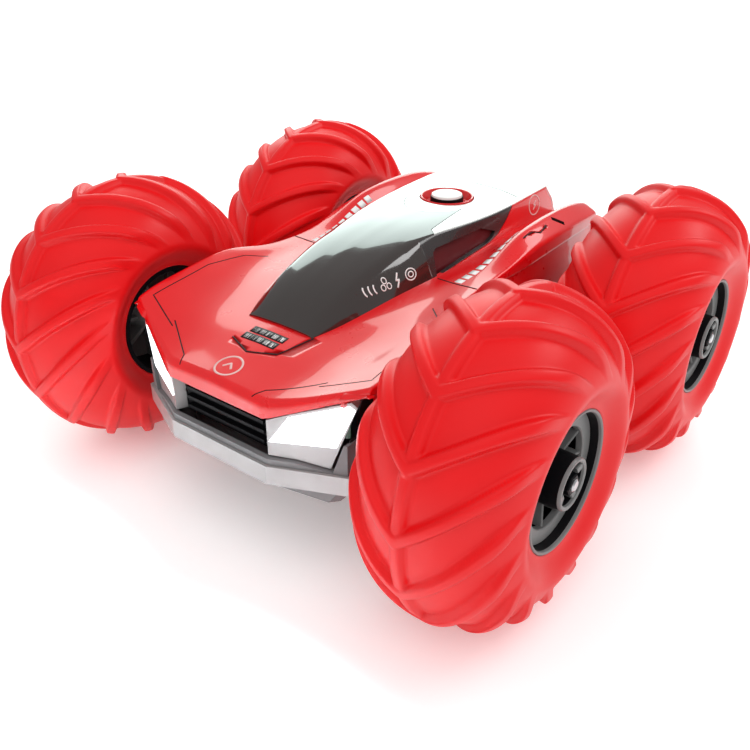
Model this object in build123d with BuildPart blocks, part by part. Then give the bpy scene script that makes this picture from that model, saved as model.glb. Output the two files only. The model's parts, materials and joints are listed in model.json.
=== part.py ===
from build123d import *
import math
import os

# RC stunt car: front faces -Y, its left side is +X, the floor is Z = 0.
# The origin lies on the floor under the middle of the car.

# ---- driving dimensions, millimetres ----
WHEEL_R = 53.0          # outer radius over the tread lugs
LUG_HEIGHT = 2.8
LUGS = 16
LUG_TURN = 2.0           # degrees from straight ahead up to the first lug's point
LUG_WIDTH = 4.2
TYRE_HALF_W = 28.15
BEAD_R = 22.15
TYRE_WALL = 2.5
TRACK_HALF = 84.46      # from the middle plane to a wheel's middle plane
AXLE_Y = 57.0
AXLE_Z = WHEEL_R
AXLE_R = 2.0
RIM_HALF_W = 22.5
RIM_R = BEAD_R - 0.05
RUN_GAP = 0.05          # radial running clearance

WALL = 2.0              # shell wall
SIDE_X = 46.0           # flank at the parting line
GASKET = 1.0            # thickness of the hull gasket
BELLY_Z = 27.0
BELLY_HALF = 40.0
TAIL_Y = 88.0
NOSE_Y = -92.0
NOSE_HALF = 22.0        # half width of the straight front edge
NOSE_CORNER = (51.4, -78.7)

GEAR_MODULE = 1.0
WHEEL_TEETH = 24        # gear on each wheel's axle
IDLER_TEETH = 30        # the two idlers and the slow part of the middle gear
FAST_MODULE = 0.8       # first stage, motor pinion to the middle gear
FAST_TEETH = 46
PINION_TEETH = 14
PIN_R = 1.5
GEAR_X = (36.0, 40.0)   # slow gears, from the middle plane outwards
FAST_X = (31.0, 34.5)

IDLER_Y = IDLER_TEETH * GEAR_MODULE
FAST_CENTRES = FAST_MODULE * (FAST_TEETH + PINION_TEETH) / 2
MOTOR_ANGLE = math.degrees(math.asin(0.6))
MOTOR_Y = FAST_CENTRES * math.cos(math.radians(MOTOR_ANGLE))
MOTOR_Z = AXLE_Z + FAST_CENTRES * math.sin(math.radians(MOTOR_ANGLE))

BUTTON_Y = 39.5
BUTTON_R = 6.75
BUTTON_TOP = 92.4
BUTTON_TRAVEL = 1.5
CAP_LOW = 87.0           # underside of the button's cap
SEAL_TOP = CAP_LOW - BUTTON_TRAVEL - 0.1
SWITCH_TOP = 82.4
STEM_LOW = SWITCH_TOP + BUTTON_TRAVEL + 0.05
DECK_Y = 8.0            # the canopy ends and the roof deck starts
INTAKE_Y = 48.0         # the side intakes end and the fins start

os.makedirs("parts", exist_ok=True)


def save(part, label):
    """Label a finished piece and write its STEP file."""
    part.label = label
    export_step(part, f"parts/{label}.step")


def save_pair(part, label):
    """Write a left-hand piece and its mirror image."""
    save(part, f"{label}_left")
    save(mirror(part, about=Plane.YZ), f"{label}_right")


# ---- hull sections ----
# Each row is a station along Y: middle height, crease (x, z) between bonnet and
# fender, and outer upper edge (x, z) of the fender or shoulder.
UPPER_STATIONS = [
    (-93.0, 64.6, (27.0, 63.8), (49.0, 72.0)),
    (-80.0, 67.3, (27.6, 66.2), (52.5, 73.0)),
    (-71.0, 69.6, (31.0, 68.5), (54.0, 75.5)),
    (-57.0, 72.0, (34.5, 71.0), (54.0, 76.4)),
    (-44.0, 74.0, (36.5, 73.5), (54.0, 78.0)),
    (-31.0, 75.0, (38.0, 75.0), (53.0, 79.2)),
    (-18.0, 76.0, (38.0, 75.8), (46.5, 77.0)),
    (-4.0, 76.0, (34.0, 76.4), (46.0, 77.2)),
    (12.0, 77.0, (32.0, 77.2), (46.0, 78.0)),
    (26.0, 78.0, (31.0, 78.5), (46.0, 82.5)),
    (42.0, 79.0, (31.0, 80.0), (46.5, 87.5)),
    (58.0, 79.0, (31.0, 80.5), (46.5, 88.6)),
    (74.0, 78.0, (31.0, 79.5), (46.0, 86.5)),
    (TAIL_Y, 76.0, (30.0, 77.0), (44.0, 81.5)),
]
# Belly height and flank foot height along Y.
LOWER_STATIONS = [
    (-93.0, 35.0, 42.0),
    (-78.0, BELLY_Z, 38.0),
    (76.0, BELLY_Z, 38.0),
    (TAIL_Y, 33.0, 41.0),
]
# Cabin: half width and height of its foot, of its roof edge, and the crown height.
CABIN_STATIONS = [
    (-60.5, (15.5, 70.6), (12.5, 71.6), 71.9),
    (-54.0, (18.0, 71.6), (13.2, 76.2), 77.2),
    (-41.0, (21.0, 73.6), (14.4, 81.8), 83.6),
    (-23.0, (23.0, 75.0), (16.2, 86.8), 88.6),
    (0.0, (25.0, 76.0), (18.3, 89.4), 91.0),
    (16.0, (26.0, 77.2), (21.6, 89.2), 90.8),
    (INTAKE_Y, (27.0, 79.6), (25.1, 89.2), 90.4),
    (66.0, (27.0, 79.6), (25.0, 89.0), 90.0),
    (TAIL_Y, (25.5, 77.6), (23.5, 88.6), 89.4),
]


def upper_section(station, skin):
    """Closed outline of the upper hull at one station, moved inwards by skin."""
    _, mid, crease, edge = station
    floor_z = AXLE_Z - 1.0
    side = SIDE_X - skin
    half = [
        (side, floor_z),
        (edge[0] - 1.1 * skin, edge[1] - 1.6 * skin),
        (crease[0], crease[1] - skin),
        (0.0, mid - skin),
    ]
    return half + [(-x, z) for x, z in reversed(half[:-1])]


def lower_section(station, skin):
    """Closed outline of the lower hull at one station, moved inwards by skin."""
    _, belly, foot = station
    half = [
        (0.0, belly + skin),
        (BELLY_HALF - 0.6 * skin, belly + skin),
        (SIDE_X - skin, foot + 0.5 * skin),
        (SIDE_X - skin, AXLE_Z + 1.0),
    ]
    return half + [(-x, z) for x, z in reversed(half[1:])]


def cabin_section(station, skin, sink=1.5):
    """Closed outline of the cabin at one station, moved inwards by skin."""
    _, foot, edge, crown = station
    half = [
        (foot[0] - skin, foot[1] - sink - 2.0 * skin),
        (foot[0] - skin, foot[1]),
        (edge[0] - 0.8 * skin, max(edge[1] - 0.8 * skin, foot[1] + 0.2)),
        (0.0, max(crown - skin, foot[1] + 0.3)),
    ]
    return half + [(-x, z) for x, z in reversed(half[:-1])]


def hull_span(first, last, section, skin):
    """Straight-sided loft between the closed outlines of two stations."""
    with BuildPart() as span:
        for station in (first, last):
            with BuildSketch(Plane.XZ.offset(-station[0])):
                with BuildLine():
                    Polyline(*section(station, skin), close=True)
                make_face()
        loft(ruled=True)
    return span.part


def hull_loft(stations, section, skin):
    """All the spans along a row of stations, joined into one solid."""
    spans = [hull_span(*pair, section, skin) for pair in zip(stations, stations[1:])]
    hull = spans[0]
    for span in spans[1:]:
        hull = hull + span
    return hull


def cabin_well(station, skin):
    """Cabin outline carried down through the hull's top, for the opening under it."""
    return cabin_section(station, skin, sink=9.0)


def moved_ends(stations, reach):
    """The same stations with both end stations pulled inwards by reach."""
    first, last = stations[0], stations[-1]
    return [(first[0] + reach,) + first[1:]] + stations[1:-1] + [(last[0] - reach,) + last[1:]]


def nose_outline(back):
    """Plan outline of the hull, its nose set back by a distance."""
    return [
        (NOSE_HALF - 0.2 * back, NOSE_Y + back),
        (NOSE_CORNER[0] - 0.6 * back, NOSE_CORNER[1] + back),
        (56.0 - back, -72.0),
        (60.0 - back, TAIL_Y - back),
        (-60.0 + back, TAIL_Y - back),
        (-56.0 + back, -72.0),
        (-NOSE_CORNER[0] + 0.6 * back, NOSE_CORNER[1] + back),
        (-NOSE_HALF + 0.2 * back, NOSE_Y + back),
    ]


def plan_prism(outline, low, high):
    """Upright prism over a plan outline."""
    with BuildPart() as prism:
        with BuildSketch(Plane.XY.offset(low)):
            with BuildLine():
                Polyline(*outline, close=True)
            make_face()
        extrude(amount=high - low)
    return prism.part


def block(x_range, y_range, z_range):
    """Axis-aligned box between two corners."""
    with BuildPart() as box:
        with BuildSketch(Plane.XY.offset(z_range[0])):
            with Locations(((x_range[0] + x_range[1]) / 2, (y_range[0] + y_range[1]) / 2)):
                Rectangle(x_range[1] - x_range[0], y_range[1] - y_range[0])
        extrude(amount=z_range[1] - z_range[0])
    return box.part


def rods(places, radius, x_range):
    """Cylinders along X, one at each (y, z), as one part."""
    with BuildPart() as bars:
        with BuildSketch(Plane.YZ.offset(x_range[0])):
            with Locations(*places):
                Circle(radius)
        extrude(amount=x_range[1] - x_range[0])
    return bars.part


def posts(places, radius, z_range):
    """Cylinders along Z, one at each (x, y), as one part."""
    with BuildPart() as bars:
        with BuildSketch(Plane.XY.offset(z_range[0])):
            with Locations(*places):
                Circle(radius)
        extrude(amount=z_range[1] - z_range[0])
    return bars.part


AXLE_PLACES = [(-AXLE_Y, AXLE_Z), (AXLE_Y, AXLE_Z)]
SCREW_PLACES = [(x, y) for x in (-33.0, 33.0) for y in (-78.5, 80.0)]
BOSS_X = (43.0, 50.0)
BOSS_R = 7.0
BUSH_R = 4.0
SEAL_X = 47.0


def both_sides(part):
    """A part together with its mirror image across the middle plane."""
    return part + mirror(part, about=Plane.YZ)


axle_bosses = both_sides(rods(AXLE_PLACES, BOSS_R, BOSS_X))
axle_bores = both_sides(rods(AXLE_PLACES, BUSH_R, (BOSS_X[0] - 4.0, BOSS_X[1] + 1.0)))
nose = plan_prism(nose_outline(0.0), 0.0, 110.0)
nose_inside = plan_prism(nose_outline(WALL), 0.0, 110.0)

# ---- mouth outline on the front, seen along Y ----
LIP_MID_Z = 58.5
LIP_END_Z = 70.2
CHIN_MID_Z = 43.7
CHIN_END_Z = 41.5
CHIN_HALF = 30.0
CHIN_END_X = 41.5
MOUTH = [
    (-NOSE_HALF, LIP_MID_Z), (NOSE_HALF, LIP_MID_Z), (NOSE_CORNER[0] - 1.0, LIP_END_Z),
    (CHIN_END_X, CHIN_END_Z), (CHIN_HALF, CHIN_MID_Z), (-CHIN_HALF, CHIN_MID_Z),
    (-CHIN_END_X, CHIN_END_Z), (-NOSE_CORNER[0] + 1.0, LIP_END_Z),
]
with BuildPart() as mouth_cut:
    with BuildSketch(Plane.XZ.offset(-NOSE_Y + 4.0)):
        with BuildLine():
            Polyline(*MOUTH, close=True)
        make_face()
    extrude(amount=-22.0)

# ---- cabin: canopy, roof deck, side intakes and fins share one skin ----
cabin_outer = hull_loft(CABIN_STATIONS, cabin_section, 0.0)
cabin_inner = hull_loft(moved_ends(CABIN_STATIONS, 1.6), cabin_section, WALL)
cabin_skin = cabin_outer - cabin_inner
deck_zone = block((-23.0, 23.0), (DECK_Y, TAIL_Y - 2.0), (85.5, 96.0))
front_zone = block((-40.0, 40.0), (-70.0, DECK_Y), (60.0, 96.0))
intake_zone = block((-40.0, 40.0), (DECK_Y, INTAKE_Y), (60.0, 96.0)) - deck_zone
fin_zone = block((-40.0, 40.0), (INTAKE_Y, TAIL_Y), (60.0, 96.0)) - deck_zone
bezel_bore = posts([(0.0, BUTTON_Y)], 11.0, (80.0, 96.0))

canopy = cabin_skin & front_zone
save(canopy, "canopy")
roof_deck = (cabin_skin & deck_zone) - bezel_bore
save(roof_deck, "roof_deck")
intakes = cabin_skin & intake_zone
intake_left = intakes & block((0.5, 40.0), (0.0, 60.0), (60.0, 96.0))
save_pair(intake_left, "side_intake")

# ---- upper shell ----
upper_outer = hull_loft(UPPER_STATIONS, upper_section, 0.0) & nose
upper_inner = hull_loft(moved_ends(UPPER_STATIONS, WALL), upper_section, WALL) & nose_inside
seam_up = block((-70.0, 70.0), (-100.0, 100.0), (AXLE_Z + GASKET / 2, 110.0))
post_up = posts(SCREW_PLACES, 3.5, (AXLE_Z, 90.0)) & upper_outer
shell = upper_outer - upper_inner
shell = shell + (axle_bosses - block((-43.0, 43.0), (-100.0, 100.0), (0.0, 110.0)))
shell = (shell + post_up) & seam_up
shell = shell - hull_loft(CABIN_STATIONS, cabin_well, 0.0) - mouth_cut.part - axle_bores
TAIL_CUT = ((-34.0, 34.0), (TAIL_Y - 4.0, TAIL_Y + 2.0), (AXLE_Z + 3.0, 72.0))
shell = shell - block(*TAIL_CUT) - posts(SCREW_PLACES, 1.3, (AXLE_Z - 1.0, 62.0))
upper_shell = shell + (cabin_skin & fin_zone)
save(upper_shell, "upper_shell")

# ---- lower shell, with its belly door and the chin set back behind the bumper ----
lower_outer = hull_loft(LOWER_STATIONS, lower_section, 0.0) & nose
lower_inner = hull_loft(moved_ends(LOWER_STATIONS, WALL), lower_section, WALL) & nose_inside
seam_down = block((-70.0, 70.0), (-100.0, 100.0), (0.0, AXLE_Z - GASKET / 2))
DOOR_HALF_X = 22.0
DOOR_Y = (-44.0, 20.0)
door_hole = block((-DOOR_HALF_X, DOOR_HALF_X), DOOR_Y, (20.0, BELLY_Z + WALL))
post_down = posts(SCREW_PLACES, 3.5, (BELLY_Z + 1.0, AXLE_Z))
BUMPER_LOW = 34.5
BUMPER_HIGH = CHIN_END_Z - 0.1
BUMPER_BACK = 3.0


def bumper_band(outer_back, inner_back):
    """Band round the nose between two set-backs, from the chin's foot to its top."""
    band = plan_prism(nose_outline(outer_back), BUMPER_LOW, BUMPER_HIGH)
    core = plan_prism(nose_outline(inner_back), BUMPER_LOW - 1.0, BUMPER_HIGH + 1.0)
    ahead = block((-60.0, 60.0), (-100.0, -76.0), (20.0, 60.0))
    sides = block((-47.5, 47.5), (-100.0, 0.0), (20.0, 60.0))
    return (band - core) & ahead & sides


shell = lower_outer - lower_inner
shell = shell + (axle_bosses - block((-43.0, 43.0), (-100.0, 100.0), (0.0, 110.0)))
shell = (shell + (post_down & lower_outer)) & seam_down
DOOR_SCREW_Y = DOOR_Y[1] - 5.0
door_nut = block((-6.0, 6.0), (DOOR_SCREW_Y - 3.5, DOOR_Y[1] + 6.0), (BELLY_Z + WALL, BELLY_Z + 8.0))
door_nut = door_nut - posts([(0.0, DOOR_SCREW_Y)], 1.3, (BELLY_Z, BELLY_Z + 9.0))
shell = shell - door_hole - mouth_cut.part - axle_bores
shell = shell - bumper_band(-4.0, BUMPER_BACK)
shell = shell - posts(SCREW_PLACES, 1.3, (20.0, AXLE_Z + 1.0))
shell = shell - posts(SCREW_PLACES, 2.6, (20.0, BELLY_Z + 4.0))
lower_shell = shell + door_nut
save(lower_shell, "lower_shell")
save(bumper_band(-1.0, BUMPER_BACK), "front_bumper")

# ---- hull gasket, screws and the belly door ----
gasket_outline = plan_prism(nose_outline(0.8), AXLE_Z - GASKET / 2, AXLE_Z + GASKET / 2)
gasket_core = plan_prism(nose_outline(2.0), AXLE_Z - GASKET, AXLE_Z + GASKET)
gasket_side = block((-SIDE_X + 0.6, SIDE_X - 0.6), (-79.0, 100.0), (0.0, 110.0))
side_core = block((-SIDE_X + 1.9, SIDE_X - 1.9), (-100.0, TAIL_Y - 2.0), (0.0, 110.0))
gasket = (gasket_outline & gasket_side) - (gasket_core & side_core)
gasket = gasket - both_sides(rods(AXLE_PLACES, BOSS_R + 0.3, (40.0, 52.0)))
gasket = gasket - mouth_cut.part
save(gasket, "hull_gasket")

with BuildPart() as shell_screws:
    with BuildSketch(Plane.XY.offset(BELLY_Z + 1.2)):
        with Locations(*SCREW_PLACES):
            Circle(2.5)
    extrude(amount=2.8)
    with BuildSketch(Plane.XY.offset(BELLY_Z + 4.0)):
        with Locations(*SCREW_PLACES):
            Circle(1.25)
    extrude(amount=30.0)
    with BuildSketch(Plane.XY.offset(BELLY_Z + 1.2)):
        with Locations(*SCREW_PLACES):
            Rectangle(3.2, 0.6)
            Rectangle(0.6, 3.2)
    extrude(amount=1.0, mode=Mode.SUBTRACT)
save(shell_screws.part, "shell_screws")

DOOR_MID_Y = (DOOR_Y[0] + DOOR_Y[1]) / 2
with BuildPart() as battery_door:
    with BuildSketch(Plane.XY.offset(BELLY_Z)):
        with Locations((0.0, DOOR_MID_Y)):
            RectangleRounded(2 * DOOR_HALF_X - 0.6, DOOR_Y[1] - DOOR_Y[0] - 0.6, 2.0)
    extrude(amount=WALL)
    with BuildSketch(Plane.XY.offset(BELLY_Z)):
        with Locations((0.0, DOOR_SCREW_Y)):
            Circle(1.4)
    extrude(amount=WALL, mode=Mode.SUBTRACT)
    with BuildSketch(Plane.XY.offset(BELLY_Z)):
        with Locations(*[(0.0, DOOR_Y[0] + 8.0 + 3.0 * i) for i in range(5)]):
            RectangleRounded(16.0, 1.2, 0.5)
    extrude(amount=0.6, mode=Mode.SUBTRACT)
save(battery_door.part, "battery_door")

with BuildPart() as door_screw:
    with BuildSketch(Plane.XY.offset(BELLY_Z - 1.2)):
        with Locations((0.0, DOOR_SCREW_Y)):
            Circle(2.4)
    extrude(amount=1.2)
    with BuildSketch(Plane.XY.offset(BELLY_Z)):
        with Locations((0.0, DOOR_SCREW_Y)):
            Circle(1.3)
    extrude(amount=7.0)
    with BuildSketch(Plane.XY.offset(BELLY_Z - 1.2)):
        with Locations((0.0, DOOR_SCREW_Y)):
            Rectangle(3.0, 0.6)
            Rectangle(0.6, 3.0)
    extrude(amount=0.7, mode=Mode.SUBTRACT)
save(door_screw.part, "battery_door_screw")

# ---- front grille and headlights ----
GRILLE_Y = -87.0
with BuildPart() as front_grille:
    with BuildSketch(Plane.XZ.offset(-GRILLE_Y)):
        with BuildLine():
            Polyline(
                (-18.0, LIP_MID_Z - 0.1), (18.0, LIP_MID_Z - 0.1), (19.4, 52.0),
                (19.4, CHIN_MID_Z + 0.1), (-19.4, CHIN_MID_Z + 0.1), (-19.4, 52.0), close=True,
            )
        make_face()
    extrude(amount=-1.6)
    with BuildSketch(Plane.XZ.offset(-GRILLE_Y)):
        with Locations(*[(0.0, CHIN_MID_Z + 3.0 + 3.6 * i) for i in range(4)]):
            Rectangle(36.0, 1.2)
    extrude(amount=1.6)
save(front_grille.part, "front_grille")

sweep_dx = NOSE_CORNER[0] - NOSE_HALF
sweep_dy = NOSE_CORNER[1] - NOSE_Y
sweep_len = math.hypot(sweep_dx, sweep_dy)
lamp_plane = Plane(
    origin=(NOSE_HALF, NOSE_Y, 0.0),
    x_dir=(sweep_dx / sweep_len, sweep_dy / sweep_len, 0.0),
    z_dir=(sweep_dy / sweep_len, -sweep_dx / sweep_len, 0.0),
)
LAMP = [(0.9, 50.0), (7.5, 59.5), (27.0, 66.4), (28.9, 65.0), (22.8, 51.0)]
LAMP_BED = [
    (0.2, 44.6), (0.2, 57.4), (7.0, 60.2), (27.6, 67.6), (29.4, 66.0), (20.5, 42.5), (10.0, 44.2),
]


def lamp_prism(points, front, depth):
    """Prism on the swept nose face, from a set-back inwards."""
    with BuildPart() as prism:
        with BuildSketch(lamp_plane.offset(-front)):
            with BuildLine():
                Polyline(*points, close=True)
            make_face()
        extrude(amount=-depth)
    return prism.part


lens_left = lamp_prism(LAMP, 0.6, 1.8)
save_pair(lens_left, "headlight_lens")
bezel_left = lamp_prism(LAMP_BED, 1.2, 4.0) - lamp_prism(LAMP, 0.0, 6.0)
save(both_sides(bezel_left), "headlight_bezels")
led_board = lamp_prism([(3.0, 50.0), (3.0, 58.0), (26.0, 62.0), (26.0, 52.0)], 5.3, 1.2)
led_chips = lamp_prism([(9.0, 54.0), (9.0, 57.0), (21.0, 59.5), (21.0, 55.0)], 4.4, 0.9)
save(both_sides(led_board + led_chips), "headlight_leds")

# ---- tail panel ----
with BuildPart() as tail_panel:
    with BuildSketch(Plane.XZ.offset(-TAIL_Y + 0.4)):
        with Locations((0.0, (TAIL_CUT[2][0] + TAIL_CUT[2][1]) / 2)):
            Rectangle(67.4, TAIL_CUT[2][1] - TAIL_CUT[2][0] - 0.6)
    extrude(amount=2.2)
    with BuildSketch(Plane.XZ.offset(-TAIL_Y + 0.4)):
        with Locations(*[(0.0, AXLE_Z + 6.0 + 3.5 * i) for i in range(4)]):
            Rectangle(52.0, 1.4)
    extrude(amount=0.8, mode=Mode.SUBTRACT)
tail = tail_panel.part
save(tail, "tail_panel")

# ---- power button, its dish, its seal, the switch and the boards ----
with BuildPart() as power_bezel:
    with BuildSketch(Plane.XZ):
        with BuildLine():
            Polyline(
                (BUTTON_R + 0.3, SEAL_TOP), (10.9, SEAL_TOP), (10.9, 91.0), (10.0, 91.0),
                (8.6, 88.2), (BUTTON_R + 0.3, 88.2), close=True,
            )
        make_face()
    revolve(axis=Axis.Z)
bezel = power_bezel.part.moved(Location((0.0, BUTTON_Y, 0.0)))
save(bezel, "power_bezel")

with BuildPart() as power_button:
    with BuildSketch(Plane.XZ):
        with BuildLine():
            Polyline(
                (0.0, STEM_LOW), (1.6, STEM_LOW), (1.6, CAP_LOW), (BUTTON_R, CAP_LOW), (BUTTON_R, BUTTON_TOP - 1.2),
                (BUTTON_R - 0.8, BUTTON_TOP), (0.0, BUTTON_TOP - 0.4), close=True,
            )
        make_face()
    revolve(axis=Axis.Z)
button = power_button.part.moved(Location((0.0, BUTTON_Y, 0.0)))
save(button, "power_button")

with BuildPart() as button_seal:
    with BuildSketch(Plane.XZ):
        with BuildLine():
            Polyline(
                (1.9, SEAL_TOP - 1.2), (10.6, SEAL_TOP - 1.2), (10.6, SEAL_TOP), (4.2, SEAL_TOP),
                (3.4, SEAL_TOP - 0.5), (1.9, SEAL_TOP - 0.5), close=True,
            )
        make_face()
    revolve(axis=Axis.Z)
seal = button_seal.part.moved(Location((0.0, BUTTON_Y, 0.0)))
save(seal, "button_seal")

BOARD_Z = 77.6
power_switch = block((-4.0, 4.0), (BUTTON_Y - 4.0, BUTTON_Y + 4.0), (BOARD_Z + 1.6, SWITCH_TOP))
save(power_switch, "power_switch")

with BuildPart() as main_board:
    with BuildSketch(Plane.XY.offset(BOARD_Z)):
        with Locations((0.0, 50.0)):
            RectangleRounded(38.0, 46.0, 1.5)
        with Locations(*[(x, y) for x in (-16.0, 16.0) for y in (30.5, 69.5)]):
            Circle(1.2, mode=Mode.SUBTRACT)
    extrude(amount=1.6)
    with BuildSketch(Plane.XY.offset(BOARD_Z + 1.6)):
        with Locations((-10.0, 55.0)):
            Rectangle(7.0, 7.0)
        with Locations((10.0, 56.0)):
            Rectangle(5.0, 9.0)
        with Locations((0.0, 66.0)):
            Rectangle(12.0, 3.0)
    extrude(amount=1.4)
save(main_board.part, "main_board")

with BuildPart() as antenna:
    with BuildLine() as antenna_path:
        FilletPolyline(
            (14.0, 60.0, BOARD_Z + 3.0), (14.0, 74.0, BOARD_Z + 3.0), (-14.0, 74.0, BOARD_Z + 3.0),
            radius=4.0,
        )
    with BuildSketch(Plane(origin=(14.0, 60.0, BOARD_Z + 3.0), z_dir=(0.0, 1.0, 0.0))):
        Circle(0.7)
    sweep(path=antenna_path.line)
save(antenna.part, "antenna")

# ---- battery pack: two standard cells side by side ----
CELL_R = 9.1
CELL_LENGTH = 50.0
with BuildPart() as battery_pack:
    with BuildSketch(Plane.XZ.offset(40.0)):
        with Locations((-CELL_R, 40.0), (CELL_R, 40.0)):
            Circle(CELL_R)
        with Locations((0.0, 40.0)):
            Rectangle(2 * CELL_R, 2 * CELL_R)
    extrude(amount=-CELL_LENGTH)
save(battery_pack.part, "battery_pack")


# ---- gears ----
def involute(angle):
    """Involute function of a pressure angle in radians."""
    return math.tan(angle) - angle


def gear_outline(module, teeth, turn):
    """Closed outline of a spur gear; turn is the direction of one tooth in degrees."""
    pressure = math.radians(20.0)
    pitch_r = module * teeth / 2
    base_r = pitch_r * math.cos(pressure)
    tip_r = pitch_r + 0.8 * module
    root_r = pitch_r - 1.15 * module
    half_pitch = math.pi / (2 * teeth) - 0.06 * module / pitch_r
    radii = [root_r, max(root_r + 0.02, base_r), pitch_r, tip_r]
    flank = []
    for radius in radii:
        at = math.acos(min(1.0, base_r / radius))
        flank.append((radius, half_pitch + involute(pressure) - involute(at)))
    outline = []
    for tooth in range(teeth):
        middle = math.radians(turn) + 2 * math.pi * tooth / teeth
        rise = [(r, middle - half) for r, half in flank]
        fall = [(r, middle + half) for r, half in reversed(flank)]
        outline += [(r * math.cos(a), r * math.sin(a)) for r, a in rise + fall]
    return outline


def spur_gear(module, teeth, turn, x_range, centre, bore):
    """Spur gear across X with a round bore."""
    plane = Plane(origin=(x_range[0], centre[0], centre[1]), x_dir=(0, 1, 0), z_dir=(1, 0, 0))
    with BuildPart() as gear:
        with BuildSketch(plane):
            with BuildLine():
                Polyline(*gear_outline(module, teeth, turn), close=True)
            make_face()
            Circle(bore, mode=Mode.SUBTRACT)
        extrude(amount=x_range[1] - x_range[0])
    return gear.part


half_tooth = 180.0 / IDLER_TEETH
for end, end_y in (("front", -AXLE_Y), ("rear", AXLE_Y)):
    axle_gear = spur_gear(GEAR_MODULE, WHEEL_TEETH, 0.0, GEAR_X, (end_y, AXLE_Z), AXLE_R)
    save_pair(axle_gear, f"{end}_axle_gear")
    idler_y = math.copysign(IDLER_Y, end_y)
    idler = spur_gear(
        GEAR_MODULE, IDLER_TEETH, half_tooth, GEAR_X, (idler_y, AXLE_Z), PIN_R + RUN_GAP,
    )
    save_pair(idler, f"{end}_idler_gear")

middle_slow = spur_gear(
    GEAR_MODULE, IDLER_TEETH, 0.0, (FAST_X[1], GEAR_X[1]), (0.0, AXLE_Z), PIN_R + RUN_GAP,
)
middle_fast = spur_gear(
    FAST_MODULE, FAST_TEETH, MOTOR_ANGLE, FAST_X, (0.0, AXLE_Z), PIN_R + RUN_GAP,
)
save_pair(middle_slow + middle_fast, "middle_gear")
SHAFT_R = 1.0
pinion = spur_gear(
    FAST_MODULE, PINION_TEETH, MOTOR_ANGLE + 180.0 + 180.0 / PINION_TEETH, FAST_X,
    (MOTOR_Y, MOTOR_Z), SHAFT_R,
)
save_pair(pinion, "motor_pinion")

# ---- motors: round cans with two flats, end bell and shaft ----
MOTOR_X = (2.0, 28.6)
MOTOR_R = 10.0
MOTOR_FLAT = 7.6
motor_at = Plane(origin=(MOTOR_X[0], MOTOR_Y, MOTOR_Z), x_dir=(0, 1, 0), z_dir=(1, 0, 0))
with BuildPart() as motor:
    with BuildSketch(motor_at):
        Circle(MOTOR_R)
        Rectangle(2 * MOTOR_R, 2 * MOTOR_FLAT, mode=Mode.INTERSECT)
    extrude(amount=MOTOR_X[1] - MOTOR_X[0])
    with BuildSketch(motor_at.offset(MOTOR_X[1] - MOTOR_X[0])):
        Circle(2.8)
    extrude(amount=1.4)
    with BuildSketch(motor_at.offset(MOTOR_X[1] - MOTOR_X[0])):
        Circle(SHAFT_R - RUN_GAP)
    extrude(amount=FAST_X[1] - MOTOR_X[1] + 0.2)
save_pair(motor.part, "motor")

# ---- gearbox housings and covers ----
BOX_X = (28.8, 35.5, 40.6, 42.0)
BOX_WALL = 1.2
TIP_ROOM = 0.8 + 0.4    # tooth height over the pitch circle and the gap round it
CAVITY_R = GEAR_MODULE * IDLER_TEETH / 2 + TIP_ROOM
CAVITY_END_R = GEAR_MODULE * WHEEL_TEETH / 2 + TIP_ROOM
DRUM_R = FAST_MODULE * FAST_TEETH / 2 + TIP_ROOM
PINION_ROOM = FAST_MODULE * PINION_TEETH / 2 + TIP_ROOM


def slot_prism(extra, x_range):
    """Room round all the slow gears of one side, widened by extra."""
    with BuildPart() as prism:
        with BuildSketch(Plane.YZ.offset(x_range[0])):
            with Locations((0.0, AXLE_Z)):
                SlotCenterToCenter(2 * IDLER_Y, 2 * (CAVITY_R + extra))
                SlotCenterToCenter(2 * AXLE_Y, 2 * (CAVITY_END_R + extra))
        extrude(amount=x_range[1] - x_range[0])
    return prism.part


def drum_prism(extra, x_range):
    """Round room of the fast stage with a lobe for the pinion."""
    with BuildPart() as prism:
        with BuildSketch(Plane.YZ.offset(x_range[0])):
            with Locations((0.0, AXLE_Z)):
                Circle(DRUM_R + extra)
            with Locations((MOTOR_Y, MOTOR_Z)):
                Circle(PINION_ROOM + extra)
        extrude(amount=x_range[1] - x_range[0])
    return prism.part


idler_places = [(-IDLER_Y, AXLE_Z), (IDLER_Y, AXLE_Z)]
housing = slot_prism(BOX_WALL, (BOX_X[1] - BOX_WALL, BOX_X[2]))
housing = housing + drum_prism(BOX_WALL, (BOX_X[0], BOX_X[1]))
housing = housing - slot_prism(0.0, (BOX_X[1], BOX_X[2] + 1.0))
housing = housing - drum_prism(0.0, (BOX_X[0] + BOX_WALL, BOX_X[1] + 0.01))
housing = housing - rods(idler_places, PIN_R, (BOX_X[0], BOX_X[2]))
housing = housing - rods([(0.0, AXLE_Z)], PIN_R, (BOX_X[0] - 1.0, BOX_X[2]))
housing = housing - rods([(MOTOR_Y, MOTOR_Z)], 3.0, (BOX_X[0] - 1.0, FAST_X[0]))
housing = housing - rods(AXLE_PLACES, AXLE_R + RUN_GAP, (BOX_X[0], BOX_X[2]))
save_pair(housing, "gearbox_housing")

cover = slot_prism(BOX_WALL, (BOX_X[2], BOX_X[3]))
cover = cover - rods(idler_places + [(0.0, AXLE_Z)], PIN_R, (BOX_X[2] - 1.0, BOX_X[3] + 1.0))
cover = cover - rods(AXLE_PLACES, AXLE_R + 0.4, (BOX_X[2] - 1.0, BOX_X[3] + 1.0))
save(both_sides(cover), "gearbox_covers")

pins = rods(idler_places, PIN_R, (BOX_X[1] - BOX_WALL, BOX_X[3]))
pins = pins + rods([(0.0, AXLE_Z)], PIN_R, (BOX_X[0], BOX_X[3]))
save(both_sides(pins), "gear_pins")

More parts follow.
